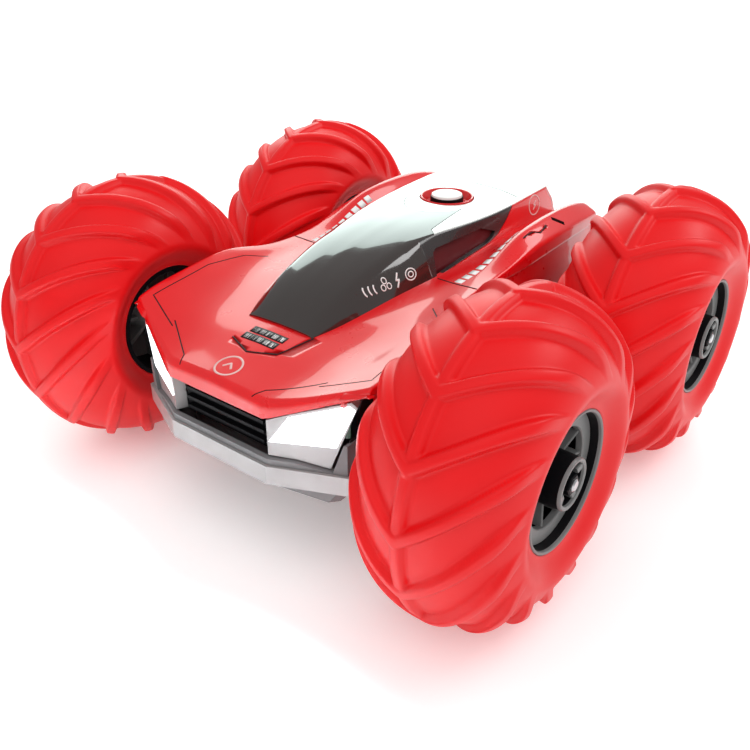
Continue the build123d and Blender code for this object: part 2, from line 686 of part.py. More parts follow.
# ---- bushings, seals and axles ----
bushes = rods(AXLE_PLACES, BUSH_R, (BOSS_X[0], SEAL_X))
bushes = bushes - rods(AXLE_PLACES, AXLE_R + RUN_GAP, (BOSS_X[0] - 1.0, SEAL_X + 1.0))
save(both_sides(bushes), "axle_bushings")
seals = rods(AXLE_PLACES, BUSH_R, (SEAL_X, BOSS_X[1]))
seals = seals - rods(AXLE_PLACES, AXLE_R + RUN_GAP, (SEAL_X - 1.0, BOSS_X[1] + 1.0))
save(both_sides(seals), "axle_seals")

AXLE_END = TRACK_HALF + 15.0
for end, end_y in (("front", -AXLE_Y), ("rear", AXLE_Y)):
    axle = rods([(end_y, AXLE_Z)], AXLE_R, (BOX_X[1] - BOX_WALL + 0.2, AXLE_END))
    save_pair(axle, f"{end}_axle")


# ---- wheels, drawn round the X axis at the origin and then moved to their axles ----
def carcass_curve(half_width, crown_r, foot_r, count):
    """Points of the tyre's round section, from one bead to the other."""
    exponent = 2.13
    points = []
    for step in range(count + 1):
        angle = math.pi * step / count
        across = math.copysign(abs(math.cos(angle)) ** (2 / exponent), math.cos(angle))
        up = abs(math.sin(angle)) ** (2 / exponent)
        points.append((half_width * across, foot_r + (crown_r - foot_r) * up))
    return points


def tyre_ring(half_width, crown_r, foot_r):
    """Solid of revolution under one tyre section."""
    with BuildPart() as ring:
        with BuildSketch(Plane.XY):
            with BuildLine():
                curve = carcass_curve(half_width, crown_r, foot_r, 16)
                Polyline(*curve)
                Polyline(curve[-1], (-half_width, 0.0), (half_width, 0.0), curve[0])
            make_face()
        revolve(axis=Axis.X)
    return ring.part


FOOT_R = 19.0
LUG_SLOPE = -1.0        # run of a lug arm along the tread for each unit across
LUG_REACH = 27.0
carcass_r = WHEEL_R - LUG_HEIGHT
carcass = tyre_ring(TYRE_HALF_W, carcass_r, FOOT_R)
tread = tyre_ring(TYRE_HALF_W, WHEEL_R, FOOT_R + LUG_HEIGHT) & rods(
    [(0.0, 0.0)], WHEEL_R, (-LUG_REACH, LUG_REACH),
)
with BuildPart() as lug_bar:
    with BuildSketch(Plane.XY.offset(-WHEEL_R - 1.0)):
        with BuildLine():
            Polyline(
                (0.0, -LUG_WIDTH / 2), (LUG_REACH, LUG_REACH * LUG_SLOPE - LUG_WIDTH / 2),
                (LUG_REACH, LUG_REACH * LUG_SLOPE + LUG_WIDTH / 2), (0.0, LUG_WIDTH / 2),
                (-LUG_REACH, LUG_REACH * LUG_SLOPE + LUG_WIDTH / 2),
                (-LUG_REACH, LUG_REACH * LUG_SLOPE - LUG_WIDTH / 2), close=True,
            )
        make_face()
    extrude(amount=24.0)
one_lug = (lug_bar.part & tread) - tyre_ring(TYRE_HALF_W, carcass_r - 0.6, FOOT_R)
lug_ring = [one_lug.rotate(Axis.X, -LUG_TURN - 360.0 * i / LUGS) for i in range(LUGS)]
hollow = tyre_ring(TYRE_HALF_W - TYRE_WALL, carcass_r - TYRE_WALL, FOOT_R)
bead_hole = rods([(0.0, 0.0)], BEAD_R, (-40.0, 40.0))
room = rods([(0.0, 0.0)], BEAD_R + TYRE_WALL, (-40.0, 40.0))
tyre_body = carcass - (hollow - room) - bead_hole
for lug in lug_ring:
    tyre_body = tyre_body + lug

HUB_R = 6.6
HUB_X = (-16.0, 14.0)
SPOKES = 10
with BuildPart() as rim:
    with BuildSketch(Plane.XY):
        with BuildLine():
            Polyline(
                (-RIM_HALF_W, RIM_R - 1.8), (-RIM_HALF_W, RIM_R), (RIM_HALF_W, RIM_R),
                (RIM_HALF_W, RIM_R - 3.6), (RIM_HALF_W - 1.6, RIM_R - 3.6),
                (RIM_HALF_W - 1.6, RIM_R - 1.8), close=True,
            )
        make_face()
        with BuildLine():
            Polyline((0.0, AXLE_R), (0.0, RIM_R - 1.0), (2.0, RIM_R - 1.0), (2.0, AXLE_R), close=True)
        make_face()
        with BuildLine():
            Polyline(
                (HUB_X[0], AXLE_R), (HUB_X[0], HUB_R), (HUB_X[1], HUB_R), (HUB_X[1], AXLE_R),
                close=True,
            )
        make_face()
    revolve(axis=Axis.X)
    with BuildSketch(Plane.YZ.offset(1.0)):
        with PolarLocations(0.5 * (HUB_R + RIM_R), SPOKES):
            Rectangle(RIM_R - HUB_R - 1.0, 1.4)
    extrude(amount=9.0)
rim_body = rim.part

NUT_X = (HUB_X[1], HUB_X[1] + 3.0)
with BuildPart() as hub_cap:
    with BuildSketch(Plane.YZ.offset(NUT_X[0])):
        RegularPolygon(3.6, 6)
        Circle(AXLE_R, mode=Mode.SUBTRACT)
    extrude(amount=NUT_X[1] - NUT_X[0])
hub_nut = hub_cap.part - rods([(0.0, 0.0)], AXLE_R, (NUT_X[0], NUT_X[1] + 1.0))
with BuildPart() as cap_shell:
    with BuildSketch(Plane.YZ.offset(NUT_X[0])):
        Circle(HUB_R - 0.4)
    extrude(amount=5.0)
    with BuildSketch(Plane.YZ.offset(NUT_X[0])):
        Circle(HUB_R - 1.8)
    extrude(amount=3.6, mode=Mode.SUBTRACT)
cap_body = cap_shell.part

for end, end_y in (("front", -AXLE_Y), ("rear", AXLE_Y)):
    place = Location((TRACK_HALF, end_y, AXLE_Z))
    save_pair(tyre_body.moved(place), f"{end}_tyre")
    save_pair(rim_body.moved(place), f"{end}_rim")
    save_pair((cap_body + hub_nut).moved(place), f"{end}_hub_cap")
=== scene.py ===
"""Looks of the RC stunt car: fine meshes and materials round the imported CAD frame.

Lengths inside the shape functions are millimetres in the car's own frame:
front faces -Y, the car's left is +X, the floor is Z = 0.
"""
import json
import math

import bmesh
import bpy
import numpy as np
from mathutils import Matrix, Vector
from mathutils.bvhtree import BVHTree


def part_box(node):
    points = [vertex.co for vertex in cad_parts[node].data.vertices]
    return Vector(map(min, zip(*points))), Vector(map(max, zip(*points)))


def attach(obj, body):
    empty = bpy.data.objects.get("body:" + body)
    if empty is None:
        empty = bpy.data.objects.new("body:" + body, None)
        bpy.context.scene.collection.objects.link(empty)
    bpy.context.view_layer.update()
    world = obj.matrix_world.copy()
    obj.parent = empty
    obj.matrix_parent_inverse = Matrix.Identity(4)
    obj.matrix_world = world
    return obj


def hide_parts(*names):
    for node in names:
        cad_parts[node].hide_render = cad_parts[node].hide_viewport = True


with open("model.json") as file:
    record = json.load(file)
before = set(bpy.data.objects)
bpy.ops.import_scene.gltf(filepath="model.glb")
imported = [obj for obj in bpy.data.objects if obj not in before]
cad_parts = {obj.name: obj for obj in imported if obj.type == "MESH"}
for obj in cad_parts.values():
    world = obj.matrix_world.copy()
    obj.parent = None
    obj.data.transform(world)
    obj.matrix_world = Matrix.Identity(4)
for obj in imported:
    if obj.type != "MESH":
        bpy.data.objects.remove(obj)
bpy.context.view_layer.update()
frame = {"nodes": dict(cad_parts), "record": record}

MM = 0.001
SIDES = (("left", 1.0), ("right", -1.0))
ENDS = ("front", "rear")
ABOVE_CAR = 120.0       # height from which rays drop
BESIDE_HULL = 70.0      # distance from the middle from which side rays start
HULL_WALL, GLASS_WALL, DECK_WALL, PLATE_WALL, LINER_WALL = 1.3, 1.4, 1.6, 1.5, 0.8
GROOVE_R, SEAM_R = 0.24, 0.3
MARK_LIFT, MARK_WALL = 0.05, 0.06
BEVEL_ANGLE = 0.9       # radians between two faces from which an edge is bevelled

# ---- driving sizes, taken from the frame where it holds them ----
tyre_low, tyre_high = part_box("front_tyre_left")
WHEEL_R = 0.5 * (tyre_high.z - tyre_low.z) / MM
AXLE_Z = WHEEL_R
AXLE_Y = -0.5 * (tyre_high.y + tyre_low.y) / MM
rim_low, rim_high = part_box("front_rim_left")
TRACK_HALF = 0.5 * (rim_high.x + rim_low.x) / MM
RIM_HALF_W = 0.5 * (rim_high.x - rim_low.x) / MM
RIM_R = 0.5 * (rim_high.z - rim_low.z) / MM
TYRE_HALF_W = 28.1
LUGS = 16
LUG_TURN = 2.0          # degrees from straight ahead up to the first lug's point
SEAM_Z = AXLE_Z
TAIL_Y = 88.0
NOSE_Y = -92.0
NOSE_HALF = 22.0
NOSE_SLOPE = 13.3 / 29.4        # how far the nose face runs back for each mm outwards
LIP_MID_Z = 58.4
LIP_RISE = 0.416


# ---- Mesh helpers ----
def new_mesh(name, verts, faces):
    """Mesh from vertices in millimetres."""
    mesh = bpy.data.meshes.new(name)
    mesh.from_pydata([Vector(v) * MM for v in verts], [], faces)
    return mesh


def link(name, data):
    """New object in the scene for a mesh, a light or a camera."""
    obj = bpy.data.objects.new(name, data)
    bpy.context.scene.collection.objects.link(obj)
    return obj


def add_object(name, verts, faces, material, body, replaces=()):
    """Object from millimetre vertices, riding on a CAD body."""
    mesh = new_mesh(name, verts, faces)
    mesh.validate()
    mesh.update()
    mesh.shade_smooth()
    obj = link(name, mesh)
    obj.data.materials.append(material)
    return settle(obj, body, replaces)


def settle(obj, body, replaces=()):
    """Give an object its body and the CAD nodes that it stands for."""
    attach(obj, body)
    if replaces:
        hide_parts(*replaces)
    return obj


def grid_faces(rows, cols, wrap_rows=False, wrap_cols=False):
    """Quads over a row-major grid of vertices."""
    faces = []
    for r in range(rows if wrap_rows else rows - 1):
        for c in range(cols if wrap_cols else cols - 1):
            r2 = (r + 1) % rows
            c2 = (c + 1) % cols
            faces.append((r * cols + c, r * cols + c2, r2 * cols + c2, r2 * cols + c))
    return faces


def prism_faces(count):
    """Side and end faces between two outlines of the same number of points."""
    faces = [(k, (k + 1) % count, count + (k + 1) % count, count + k) for k in range(count)]
    return faces + [tuple(range(count - 1, -1, -1)), tuple(range(count, 2 * count))]


def outward(mesh):
    """Make all normals of a mesh point outwards."""
    work = bmesh.new()
    work.from_mesh(mesh)
    bmesh.ops.recalc_face_normals(work, faces=work.faces)
    work.to_mesh(mesh)
    work.free()
    return mesh


def add_modifier(obj, kind, **settings):
    modifier = obj.modifiers.new(kind.lower(), kind)
    for key, value in settings.items():
        setattr(modifier, key, value)
    return modifier


def apply_modifiers(obj):
    """Bake an object's modifiers into its mesh."""
    bpy.context.view_layer.update()
    graph = bpy.context.evaluated_depsgraph_get()
    mesh = bpy.data.meshes.new_from_object(obj.evaluated_get(graph))
    obj.modifiers.clear()
    obj.data = mesh
    return obj


def thicken(obj, wall, **settings):
    """Give a skin its wall thickness, inwards."""
    add_modifier(obj, "SOLIDIFY", thickness=wall * MM, offset=-1.0, **settings)
    return apply_modifiers(obj)


def smooth_by_angle(obj, degrees=35.0):
    """Smooth shading with sharp edges over an angle."""
    obj.data.shade_smooth()
    obj.data.set_sharp_from_angle(angle=math.radians(degrees))
    return obj


def soften(obj, width=0.15, degrees=30.0):
    """Narrow bevel on the sharp edges, with smooth shading."""
    add_modifier(
        obj, "BEVEL", width=width * MM, segments=2, limit_method="ANGLE", angle_limit=BEVEL_ANGLE,
    )
    return smooth_by_angle(obj, degrees)


def smooth_line(values, sigma):
    """Gaussian smoothing of evenly spaced values with mirrored ends."""
    reach = int(3 * sigma) + 1
    kernel = np.exp(-0.5 * (np.arange(-reach, reach + 1) / sigma) ** 2)
    kernel /= kernel.sum()
    padded = np.concatenate([
        2 * values[0] - values[reach:0:-1], values, 2 * values[-1] - values[-2:-reach - 2:-1],
    ])
    return np.convolve(padded, kernel, mode="valid")


def rounded_line(points, radii, per_arc=5, per_run=4):
    """Polyline with rounded corners and a fixed number of samples."""
    points = [np.array(p, float) for p in points]
    out = []
    last_end = points[0]
    for i in range(1, len(points) - 1):
        before, here, after = points[i - 1], points[i], points[i + 1]
        to_before = before - here
        to_after = after - here
        reach = min(radii[i], 0.48 * np.linalg.norm(to_before), 0.48 * np.linalg.norm(to_after))
        start = here + to_before / max(1e-9, np.linalg.norm(to_before)) * reach
        end = here + to_after / max(1e-9, np.linalg.norm(to_after)) * reach
        for k in range(per_run):
            out.append(last_end + (start - last_end) * k / per_run)
        for k in range(per_arc):
            t = k / per_arc
            out.append((1 - t) ** 2 * start + 2 * t * (1 - t) * here + t * t * end)
        last_end = end
    for k in range(per_run + 1):
        out.append(last_end + (points[-1] - last_end) * k / per_run)
    return np.array(out)


def turned(name, outline, centre, material, body, replaces=(), segments=96):
    """Closed turned piece round an upright axis; outline is (radius, z)."""
    verts = []
    for s in range(segments):
        angle = 2 * math.pi * s / segments
        for radius, z in outline:
            verts.append((centre[0] + radius * math.cos(angle), centre[1] + radius * math.sin(angle), z))
    faces = grid_faces(segments, len(outline), wrap_rows=True, wrap_cols=True)
    obj = add_object(name, verts, faces, material, body, replaces)
    outward(obj.data)
    return smooth_by_angle(obj)


# ---- Materials ----
class Shader:
    """Small helper round one Principled material's node tree."""

    def __init__(self, name, colour, rough, metallic=0.0, coat=0.0, coat_rough=0.03, ior=1.5):
        self.material = bpy.data.materials.new(f"look_{name}")
        self.material.use_nodes = True
        self.nodes = self.material.node_tree.nodes
        self.links = self.material.node_tree.links
        self.bsdf = self.nodes["Principled BSDF"]
        for socket, value in (
            ("Base Color", (*colour, 1.0)), ("Roughness", rough), ("Metallic", metallic),
            ("Coat Weight", coat), ("Coat Roughness", coat_rough), ("IOR", ior),
        ):
            self.bsdf.inputs[socket].default_value = value
        self.colour = colour
        self.coords = self.nodes.new("ShaderNodeTexCoord")
        self.height = None

    def noise(self, scale, detail=3.0):
        node = self.nodes.new("ShaderNodeTexNoise")
        node.inputs["Scale"].default_value = scale
        node.inputs["Detail"].default_value = detail
        node.inputs["Roughness"].default_value = 0.55
        self.links.new(self.coords.outputs["Object"], node.inputs["Vector"])
        return node.outputs["Fac"]

    def spread(self, source, low, high):
        """The middle of a noise, stretched from a low to a high value."""
        node = self.nodes.new("ShaderNodeMapRange")
        for socket, value in (("From Min", 0.3), ("From Max", 0.7), ("To Min", low), ("To Max", high)):
            node.inputs[socket].default_value = value
        self.links.new(source, node.inputs["Value"])
        return node.outputs["Result"]

    def vary_colour(self, scale, other):
        """Base colour drifts between the main colour and another over a noise."""
        mix = self.nodes.new("ShaderNodeMix")
        mix.data_type = "RGBA"
        mix.inputs[6].default_value = (*self.colour, 1.0)
        mix.inputs[7].default_value = (*other, 1.0)
        self.links.new(self.spread(self.noise(scale), 0.0, 1.0), mix.inputs[0])
        self.links.new(mix.outputs[2], self.bsdf.inputs["Base Color"])
        return self

    def vary_rough(self, scale, low, high):
        self.links.new(self.spread(self.noise(scale, 4.0), low, high), self.bsdf.inputs["Roughness"])
        return self

    def bump(self, scale, strength, distance):
        """Fine moulded grain."""
        node = self.nodes.new("ShaderNodeBump")
        node.inputs["Strength"].default_value = strength
        node.inputs["Distance"].default_value = distance
        self.links.new(self.noise(scale, 2.0), node.inputs["Height"])
        if self.height is not None:
            self.links.new(self.height, node.inputs["Normal"])
        self.height = node.outputs["Normal"]
        self.links.new(self.height, self.bsdf.inputs["Normal"])
        return self

    def glow(self, colour, strength):
        self.bsdf.inputs["Emission Color"].default_value = (*colour, 1.0)
        self.bsdf.inputs["Emission Strength"].default_value = strength
        return self


def make_materials():
    """All finishes by name."""
    made = {}

    def finish(name, *settings, **more):
        shader = Shader(name, *settings, **more)
        made[name] = shader.material
        return shader

    body = finish("body_red", (0.74, 0.003, 0.006), 0.30, coat=0.7, coat_rough=0.05, ior=1.45)
    body.vary_colour(35.0, (0.68, 0.002, 0.005)).vary_rough(60.0, 0.26, 0.36)
    body.bump(900.0, 0.05, 0.0002)
    tyre = finish("tyre_red", (0.78, 0.004, 0.006), 0.42, ior=1.42)
    tyre.vary_colour(18.0, (0.72, 0.003, 0.005)).vary_rough(45.0, 0.36, 0.50)
    tyre.bump(60.0, 0.06, 0.001).bump(1800.0, 0.10, 0.00015)
    glass = finish("smoked_window", (0.026, 0.017, 0.015), 0.10, coat=1.0, coat_rough=0.01, ior=1.5)
    glass.vary_colour(25.0, (0.024, 0.018, 0.016)).vary_rough(80.0, 0.08, 0.14)
    glass.bump(400.0, 0.02, 0.0002)
    black = finish("black_trim", (0.010, 0.010, 0.011), 0.45)
    black.vary_rough(90.0, 0.38, 0.55).bump(2200.0, 0.25, 0.0001)
    silver = finish("silver_trim", (0.42, 0.41, 0.41), 0.34, metallic=0.35, coat=0.2)
    silver.vary_colour(50.0, (0.36, 0.35, 0.35)).vary_rough(120.0, 0.28, 0.42).bump(1500.0, 0.08, 0.0001)
    rim = finish("rim_grey", (0.19, 0.19, 0.188), 0.34)
    rim.vary_colour(70.0, (0.155, 0.155, 0.155)).vary_rough(110.0, 0.32, 0.48).bump(1800.0, 0.12, 0.0001)
    rim_dark = finish("rim_black", (0.004, 0.004, 0.005), 0.60, ior=1.2)
    rim_dark.vary_rough(100.0, 0.35, 0.5).bump(1600.0, 0.15, 0.0001)
    maroon = finish("maroon_trim", (0.11, 0.006, 0.009), 0.42)
    maroon.vary_colour(60.0, (0.08, 0.004, 0.007)).vary_rough(90.0, 0.36, 0.5).bump(1500.0, 0.15, 0.0001)
    lamp = finish("lamp_white", (0.95, 0.97, 1.0), 0.12, coat=0.6).glow((0.93, 0.96, 1.0), 2.6)
    lamp.vary_rough(200.0, 0.08, 0.2)
    roof = finish("roof_silver", (0.80, 0.83, 0.80), 0.24, coat=1.0, coat_rough=0.04)
    roof.vary_colour(30.0, (0.76, 0.79, 0.76)).vary_rough(80.0, 0.2, 0.3).bump(900.0, 0.04, 0.0002)
    frame_black = finish("frame_black", (0.022, 0.020, 0.020), 0.28, coat=0.5)
    frame_black.vary_rough(90.0, 0.22, 0.34).bump(1500.0, 0.08, 0.0001)
    white = finish("button_white", (0.86, 0.86, 0.84), 0.24, coat=0.6)
    white.vary_colour(80.0, (0.80, 0.80, 0.78)).bump(900.0, 0.04, 0.0001)
    mark = finish("mark_white", (0.88, 0.87, 0.86), 0.45)
    mark.vary_colour(300.0, (0.80, 0.79, 0.78)).vary_rough(300.0, 0.4, 0.55)
    pink = finish("mark_pale", (0.80, 0.52, 0.50), 0.45)
    pink.vary_colour(300.0, (0.72, 0.46, 0.44)).vary_rough(300.0, 0.4, 0.55)
    belly = finish("belly_grey", (0.20, 0.20, 0.205), 0.45)
    belly.vary_colour(40.0, (0.16, 0.16, 0.165)).vary_rough(80.0, 0.38, 0.55).bump(1500.0, 0.15, 0.0001)
    steel = finish("steel", (0.55, 0.55, 0.57), 0.28, metallic=1.0)
    steel.vary_rough(250.0, 0.2, 0.38).bump(1200.0, 0.05, 0.0001)
    brass = finish("brass", (0.62, 0.42, 0.14), 0.3, metallic=1.0).vary_rough(250.0, 0.22, 0.4)
    brass.bump(1200.0, 0.05, 0.0001)
    nylon = finish("nylon", (0.72, 0.70, 0.62), 0.4).vary_colour(60.0, (0.66, 0.64, 0.56))
    nylon.bump(1200.0, 0.08, 0.0001)
    board = finish("board_green", (0.02, 0.16, 0.06), 0.3, coat=0.4)
    board.vary_colour(300.0, (0.01, 0.11, 0.04)).bump(900.0, 0.1, 0.0001)
    wrap = finish("cell_wrap", (0.04, 0.12, 0.38), 0.3, coat=0.3).vary_colour(80.0, (0.03, 0.09, 0.3))
    wrap.bump(500.0, 0.1, 0.0002)
    rubber = finish("seal_rubber", (0.015, 0.015, 0.015), 0.6).vary_rough(150.0, 0.5, 0.7)
    rubber.bump(1500.0, 0.2, 0.0001)
    return made


MATERIALS = make_materials()


# ---- Tyres and wheels ----
CARCASS_R = WHEEL_R - 2.5
FOOT_R = 19.0
SECTION_POWER = 2.13
LUG_TALL = 2.5
LUG_HALF = 2.35         # half width of a lug arm along the tread
RIDGE_HALF = 1.9
WALL_TURN_R = 32.0      # below this radius the side wall pulls in to the rim


def ease(value):
    value = np.clip(value, 0.0, 1.0)
    return value * value * (3 - 2 * value)


def carcass_profile(count):
    """Tyre section as (across, radius, arc length from the crown), outer bead to inner bead."""
    low_angle = 0.092
    angles = np.linspace(low_angle, math.pi - low_angle, count)
    across = TYRE_HALF_W * np.sign(np.cos(angles)) * np.abs(np.cos(angles)) ** (2 / SECTION_POWER)
    radius = FOOT_R + (CARCASS_R - FOOT_R) * np.abs(np.sin(angles)) ** (2 / SECTION_POWER)
    across = across * (1.0 - 0.195 * ease((WALL_TURN_R - radius) / (WALL_TURN_R - RIM_R)))
    step = np.hypot(np.diff(across), np.diff(radius))
    length = np.concatenate([[0.0], np.cumsum(step)])
    even = np.linspace(0.0, length[-1], count)
    across = np.interp(even, length, across)
    radius = np.interp(even, length, radius)
    return across, radius, even - 0.5 * length[-1]


def lug_height(arc, theta):
    """Height of the V lugs and of the middle ridge over the carcass, in millimetres."""
    away = np.abs(arc)
    lag = np.radians(0.85 * away + 0.009 * away ** 2)
    pitch = 2 * math.pi / LUGS
    phase = (theta - math.radians(LUG_TURN) - lag) / pitch
    off = (phase - np.round(phase)) * pitch * (CARCASS_R - 0.30 * away)
    width = LUG_HALF * (1.0 + 0.25 * ease((away - 8.0) / 20.0))
    arm = ease((width + 0.75 - np.abs(off)) / 1.5)
    crown = np.clip(1.0 - (off / (width + 0.4)) ** 2, 0.0, 1.0) ** 0.5
    arm = arm * (0.72 + 0.28 * crown)
    fade = 1.0 - ease((away - 24.0) / 11.0)
    ridge = ease((RIDGE_HALF + 0.7 - away) / 1.4)
    return LUG_TALL * np.maximum(arm * fade, 0.78 * ridge)


def tyre_mesh(name):
    """One tyre round the X axis at the origin, outer side towards +X."""
    segments, count = 768, 150
    across, radius, arc = carcass_profile(count)
    theta = np.linspace(0.0, 2 * math.pi, segments, endpoint=False)
    tangent_x = np.gradient(across)
    tangent_r = np.gradient(radius)
    size = np.hypot(tangent_x, tangent_r)
    normal_x, normal_r = -tangent_r / size, tangent_x / size
    if normal_r[count // 2] < 0:
        normal_x, normal_r = -normal_x, -normal_r
    arc_grid, theta_grid = np.meshgrid(arc, theta)
    high = lug_height(arc_grid, theta_grid)
    grid_x = across[None, :] + normal_x[None, :] * high
    grid_r = radius[None, :] + normal_r[None, :] * high
    bead = [(0.1, 0.12), (1.2, 0.1), (3.0, 0.1)]
    inner = np.array([(inwards - RIM_HALF_W, RIM_R + out) for inwards, out in bead])
    outer = inner[::-1] * (-1.0, 1.0)
    rows = []
    for k in range(segments):
        ring_x = np.concatenate([outer[:, 0], grid_x[k], inner[:, 0]])
        ring_r = np.concatenate([outer[:, 1], grid_r[k], inner[:, 1]])
        rows.append(np.stack([
            ring_x, -ring_r * math.cos(theta[k]), ring_r * math.sin(theta[k]),
        ], axis=1))
    verts = np.concatenate(rows) * MM
    cols = count + 6
    faces = grid_faces(segments, cols, wrap_rows=True, wrap_cols=True)
    mesh = bpy.data.meshes.new(name)
    mesh.from_pydata(verts.tolist(), [], faces)
    mesh.update()
    mesh.shade_smooth()
    return mesh


def ring_object(name, mesh, place, mirrored, material, body, replaces):
    """A wheel piece from a shared shape, mirrored for the right side and moved to its axle."""
    data = mesh.copy()
    matrix = Matrix.Translation(Vector(place) * MM)
    if mirrored:
        matrix = matrix @ Matrix.Scale(-1.0, 4, (1, 0, 0))
    data.transform(matrix)
    if mirrored:
        data.flip_normals()
    data.materials.append(material)
    return settle(link(name, data), body, replaces)


def lathe_mesh(name, outline, segments=160):
    """Closed ring of revolution round X at the origin, as a mesh."""
    verts = []
    for s in range(segments):
        angle = 2 * math.pi * s / segments
        for along, radius in outline:
            verts.append((along, radius * math.cos(angle), radius * math.sin(angle)))
    mesh = outward(new_mesh(name, verts, grid_faces(segments, len(outline), True, True)))
    mesh.shade_smooth()
    mesh.set_sharp_from_angle(angle=math.radians(38.0))
    return mesh


def rib_mesh(name, count, inner_r, outer_r, half_width, low_x, high_inner, high_outer, turn=0.0):
    """Radial ribs with chamfered tops."""
    chamfer_in, chamfer_down = 0.3, 0.35
    verts, faces = [], []
    for k in range(count):
        angle = 2 * math.pi * k / count + turn
        radial = np.array([0.0, math.cos(angle), math.sin(angle)])
        side = np.array([0.0, -math.sin(angle), math.cos(angle)])
        along = np.array([1.0, 0.0, 0.0])
        base = len(verts)
        for radius, top in ((inner_r, high_inner), (outer_r, high_outer)):
            for offset, height in (
                (-half_width, low_x), (-half_width, top - chamfer_down), (-half_width + chamfer_in, top),
                (half_width - chamfer_in, top), (half_width, top - chamfer_down), (half_width, low_x),
            ):
                verts.append(radial * radius + side * offset + along * height)
        for j in range(6):
            n = (j + 1) % 6
            faces.append((base + j, base + n, base + 6 + n, base + 6 + j))
        faces.append(tuple(base + j for j in range(5, -1, -1)))
        faces.append(tuple(base + 6 + j for j in range(6)))
    return outward(new_mesh(name, verts, faces))


def build_wheels():
    """Tyre, rim ring, dish, ribs, hub and cap of each wheel."""
    tyre = tyre_mesh("tyre_shape")
    w, r = RIM_HALF_W, RIM_R
    barrel = lathe_mesh("rim_barrel_shape", [
        (-w, r - 1.6), (-w, r - 0.1), (w - 0.9, r - 0.1), (w - 0.9, r - 1.1), (w - 3.9, r - 1.5),
        (2.0, r - 1.8),
    ])
    lip = lathe_mesh("rim_lip_shape", [
        (w - 0.9, r - 0.1), (w - 0.1, r + 0.05), (w + 0.2, r - 0.2), (w + 0.2, r - 0.6), (w - 0.1, r - 0.95),
        (w - 0.9, r - 1.1),
    ])
    ring = lathe_mesh("rim_ring_shape", [
        (w - 5.5, r - 1.4), (w - 3.6, r - 1.5), (w - 3.3, r - 1.8), (w - 3.3, r - 6.1), (w - 3.6, r - 6.4),
        (w - 4.6, r - 6.5), (w - 5.5, r - 6.5),
    ])
    dish = lathe_mesh("rim_dish_shape", [
        (2.4, 2.2), (2.4, r - 1.7), (0.2, r - 1.7), (0.2, 2.2),
    ])
    hub = lathe_mesh("rim_hub_shape", [
        (1.0, 2.2), (1.0, 8.9), (23.2, 8.2), (23.2, 6.7), (21.0, 6.7), (21.0, 2.2),
    ])
    hub_ring = lathe_mesh("rim_hub_ring_shape", [
        (23.2, 6.7), (23.2, 8.25), (23.9, 8.1), (24.2, 7.8), (24.2, 7.2), (23.9, 6.8),
    ])
    back = lathe_mesh("rim_back_shape", [
        (-2.0, 2.2), (-2.0, r - 1.7), (-3.4, r - 1.7), (-3.4, 8.0), (-12.0, 6.2), (-12.6, 5.6),
        (-12.6, 2.2),
    ])
    ribs = rib_mesh("rim_rib_shape", 10, 8.0, r - 6.2, 0.34, 2.0, 17.0, w - 3.9)
    back_ribs = rib_mesh("rim_back_rib_shape", 8, 6.4, r - 1.7, 0.7, -3.2, -9.5, -6.0)
    lobes = rib_mesh("hub_lobe_shape", 4, 4.4, 6.75, 1.3, 20.8, 23.3, 23.7, turn=0.5)
    nut = lathe_mesh("hub_nut_shape", [
        (20.8, 2.0), (20.8, 3.4), (23.9, 3.4), (24.3, 3.0), (24.3, 2.0),
    ], segments=6)
    cap = lathe_mesh("hub_axle_shape", [
        (20.8, 0.01), (20.8, 1.9), (24.5, 1.9), (24.9, 1.5), (24.9, 0.01),
    ], segments=48)
    pieces = (
        ("tyre_skin", tyre, "tyre_red", "tyre_red"),
        ("rim_barrel", barrel, "rim_black", "rim_grey"),
        ("rim_lip", lip, "rim_grey", "rim_grey"),
        ("rim_hub_ring", hub_ring, "rim_grey", "rim_grey"),
        ("rim_ring", ring, "rim_grey", "rim_grey"),
        ("rim_dish", dish, "rim_black", "rim_grey"),
        ("rim_hub", hub, "rim_black", "rim_grey"),
        ("rim_back", back, "rim_grey", "rim_grey"),
        ("rim_ribs", ribs, "rim_grey", "rim_grey"),
        ("rim_back_ribs", back_ribs, "rim_grey", "rim_grey"),
        ("hub_lobes", lobes, "rim_grey", "black_trim"),
        ("hub_nut", nut, "rim_black", "steel"),
        ("axle_tip", cap, "steel", "steel"),
    )
    stands_for = {"tyre_skin": "tyre", "rim_barrel": "rim", "hub_lobes": "hub_cap"}
    for end in ENDS:
        for side, sign in SIDES:
            place = (sign * TRACK_HALF, -AXLE_Y if end == "front" else AXLE_Y, AXLE_Z)
            for kind, mesh, finish, slot in pieces:
                nodes = [f"{end}_{stands_for[kind]}_{side}"] if kind in stands_for else []
                ring_object(
                    f"{end}_{side}_{kind}", mesh, place, sign < 0, MATERIALS[finish],
                    f"{end}_wheel_{side}", nodes,
                )


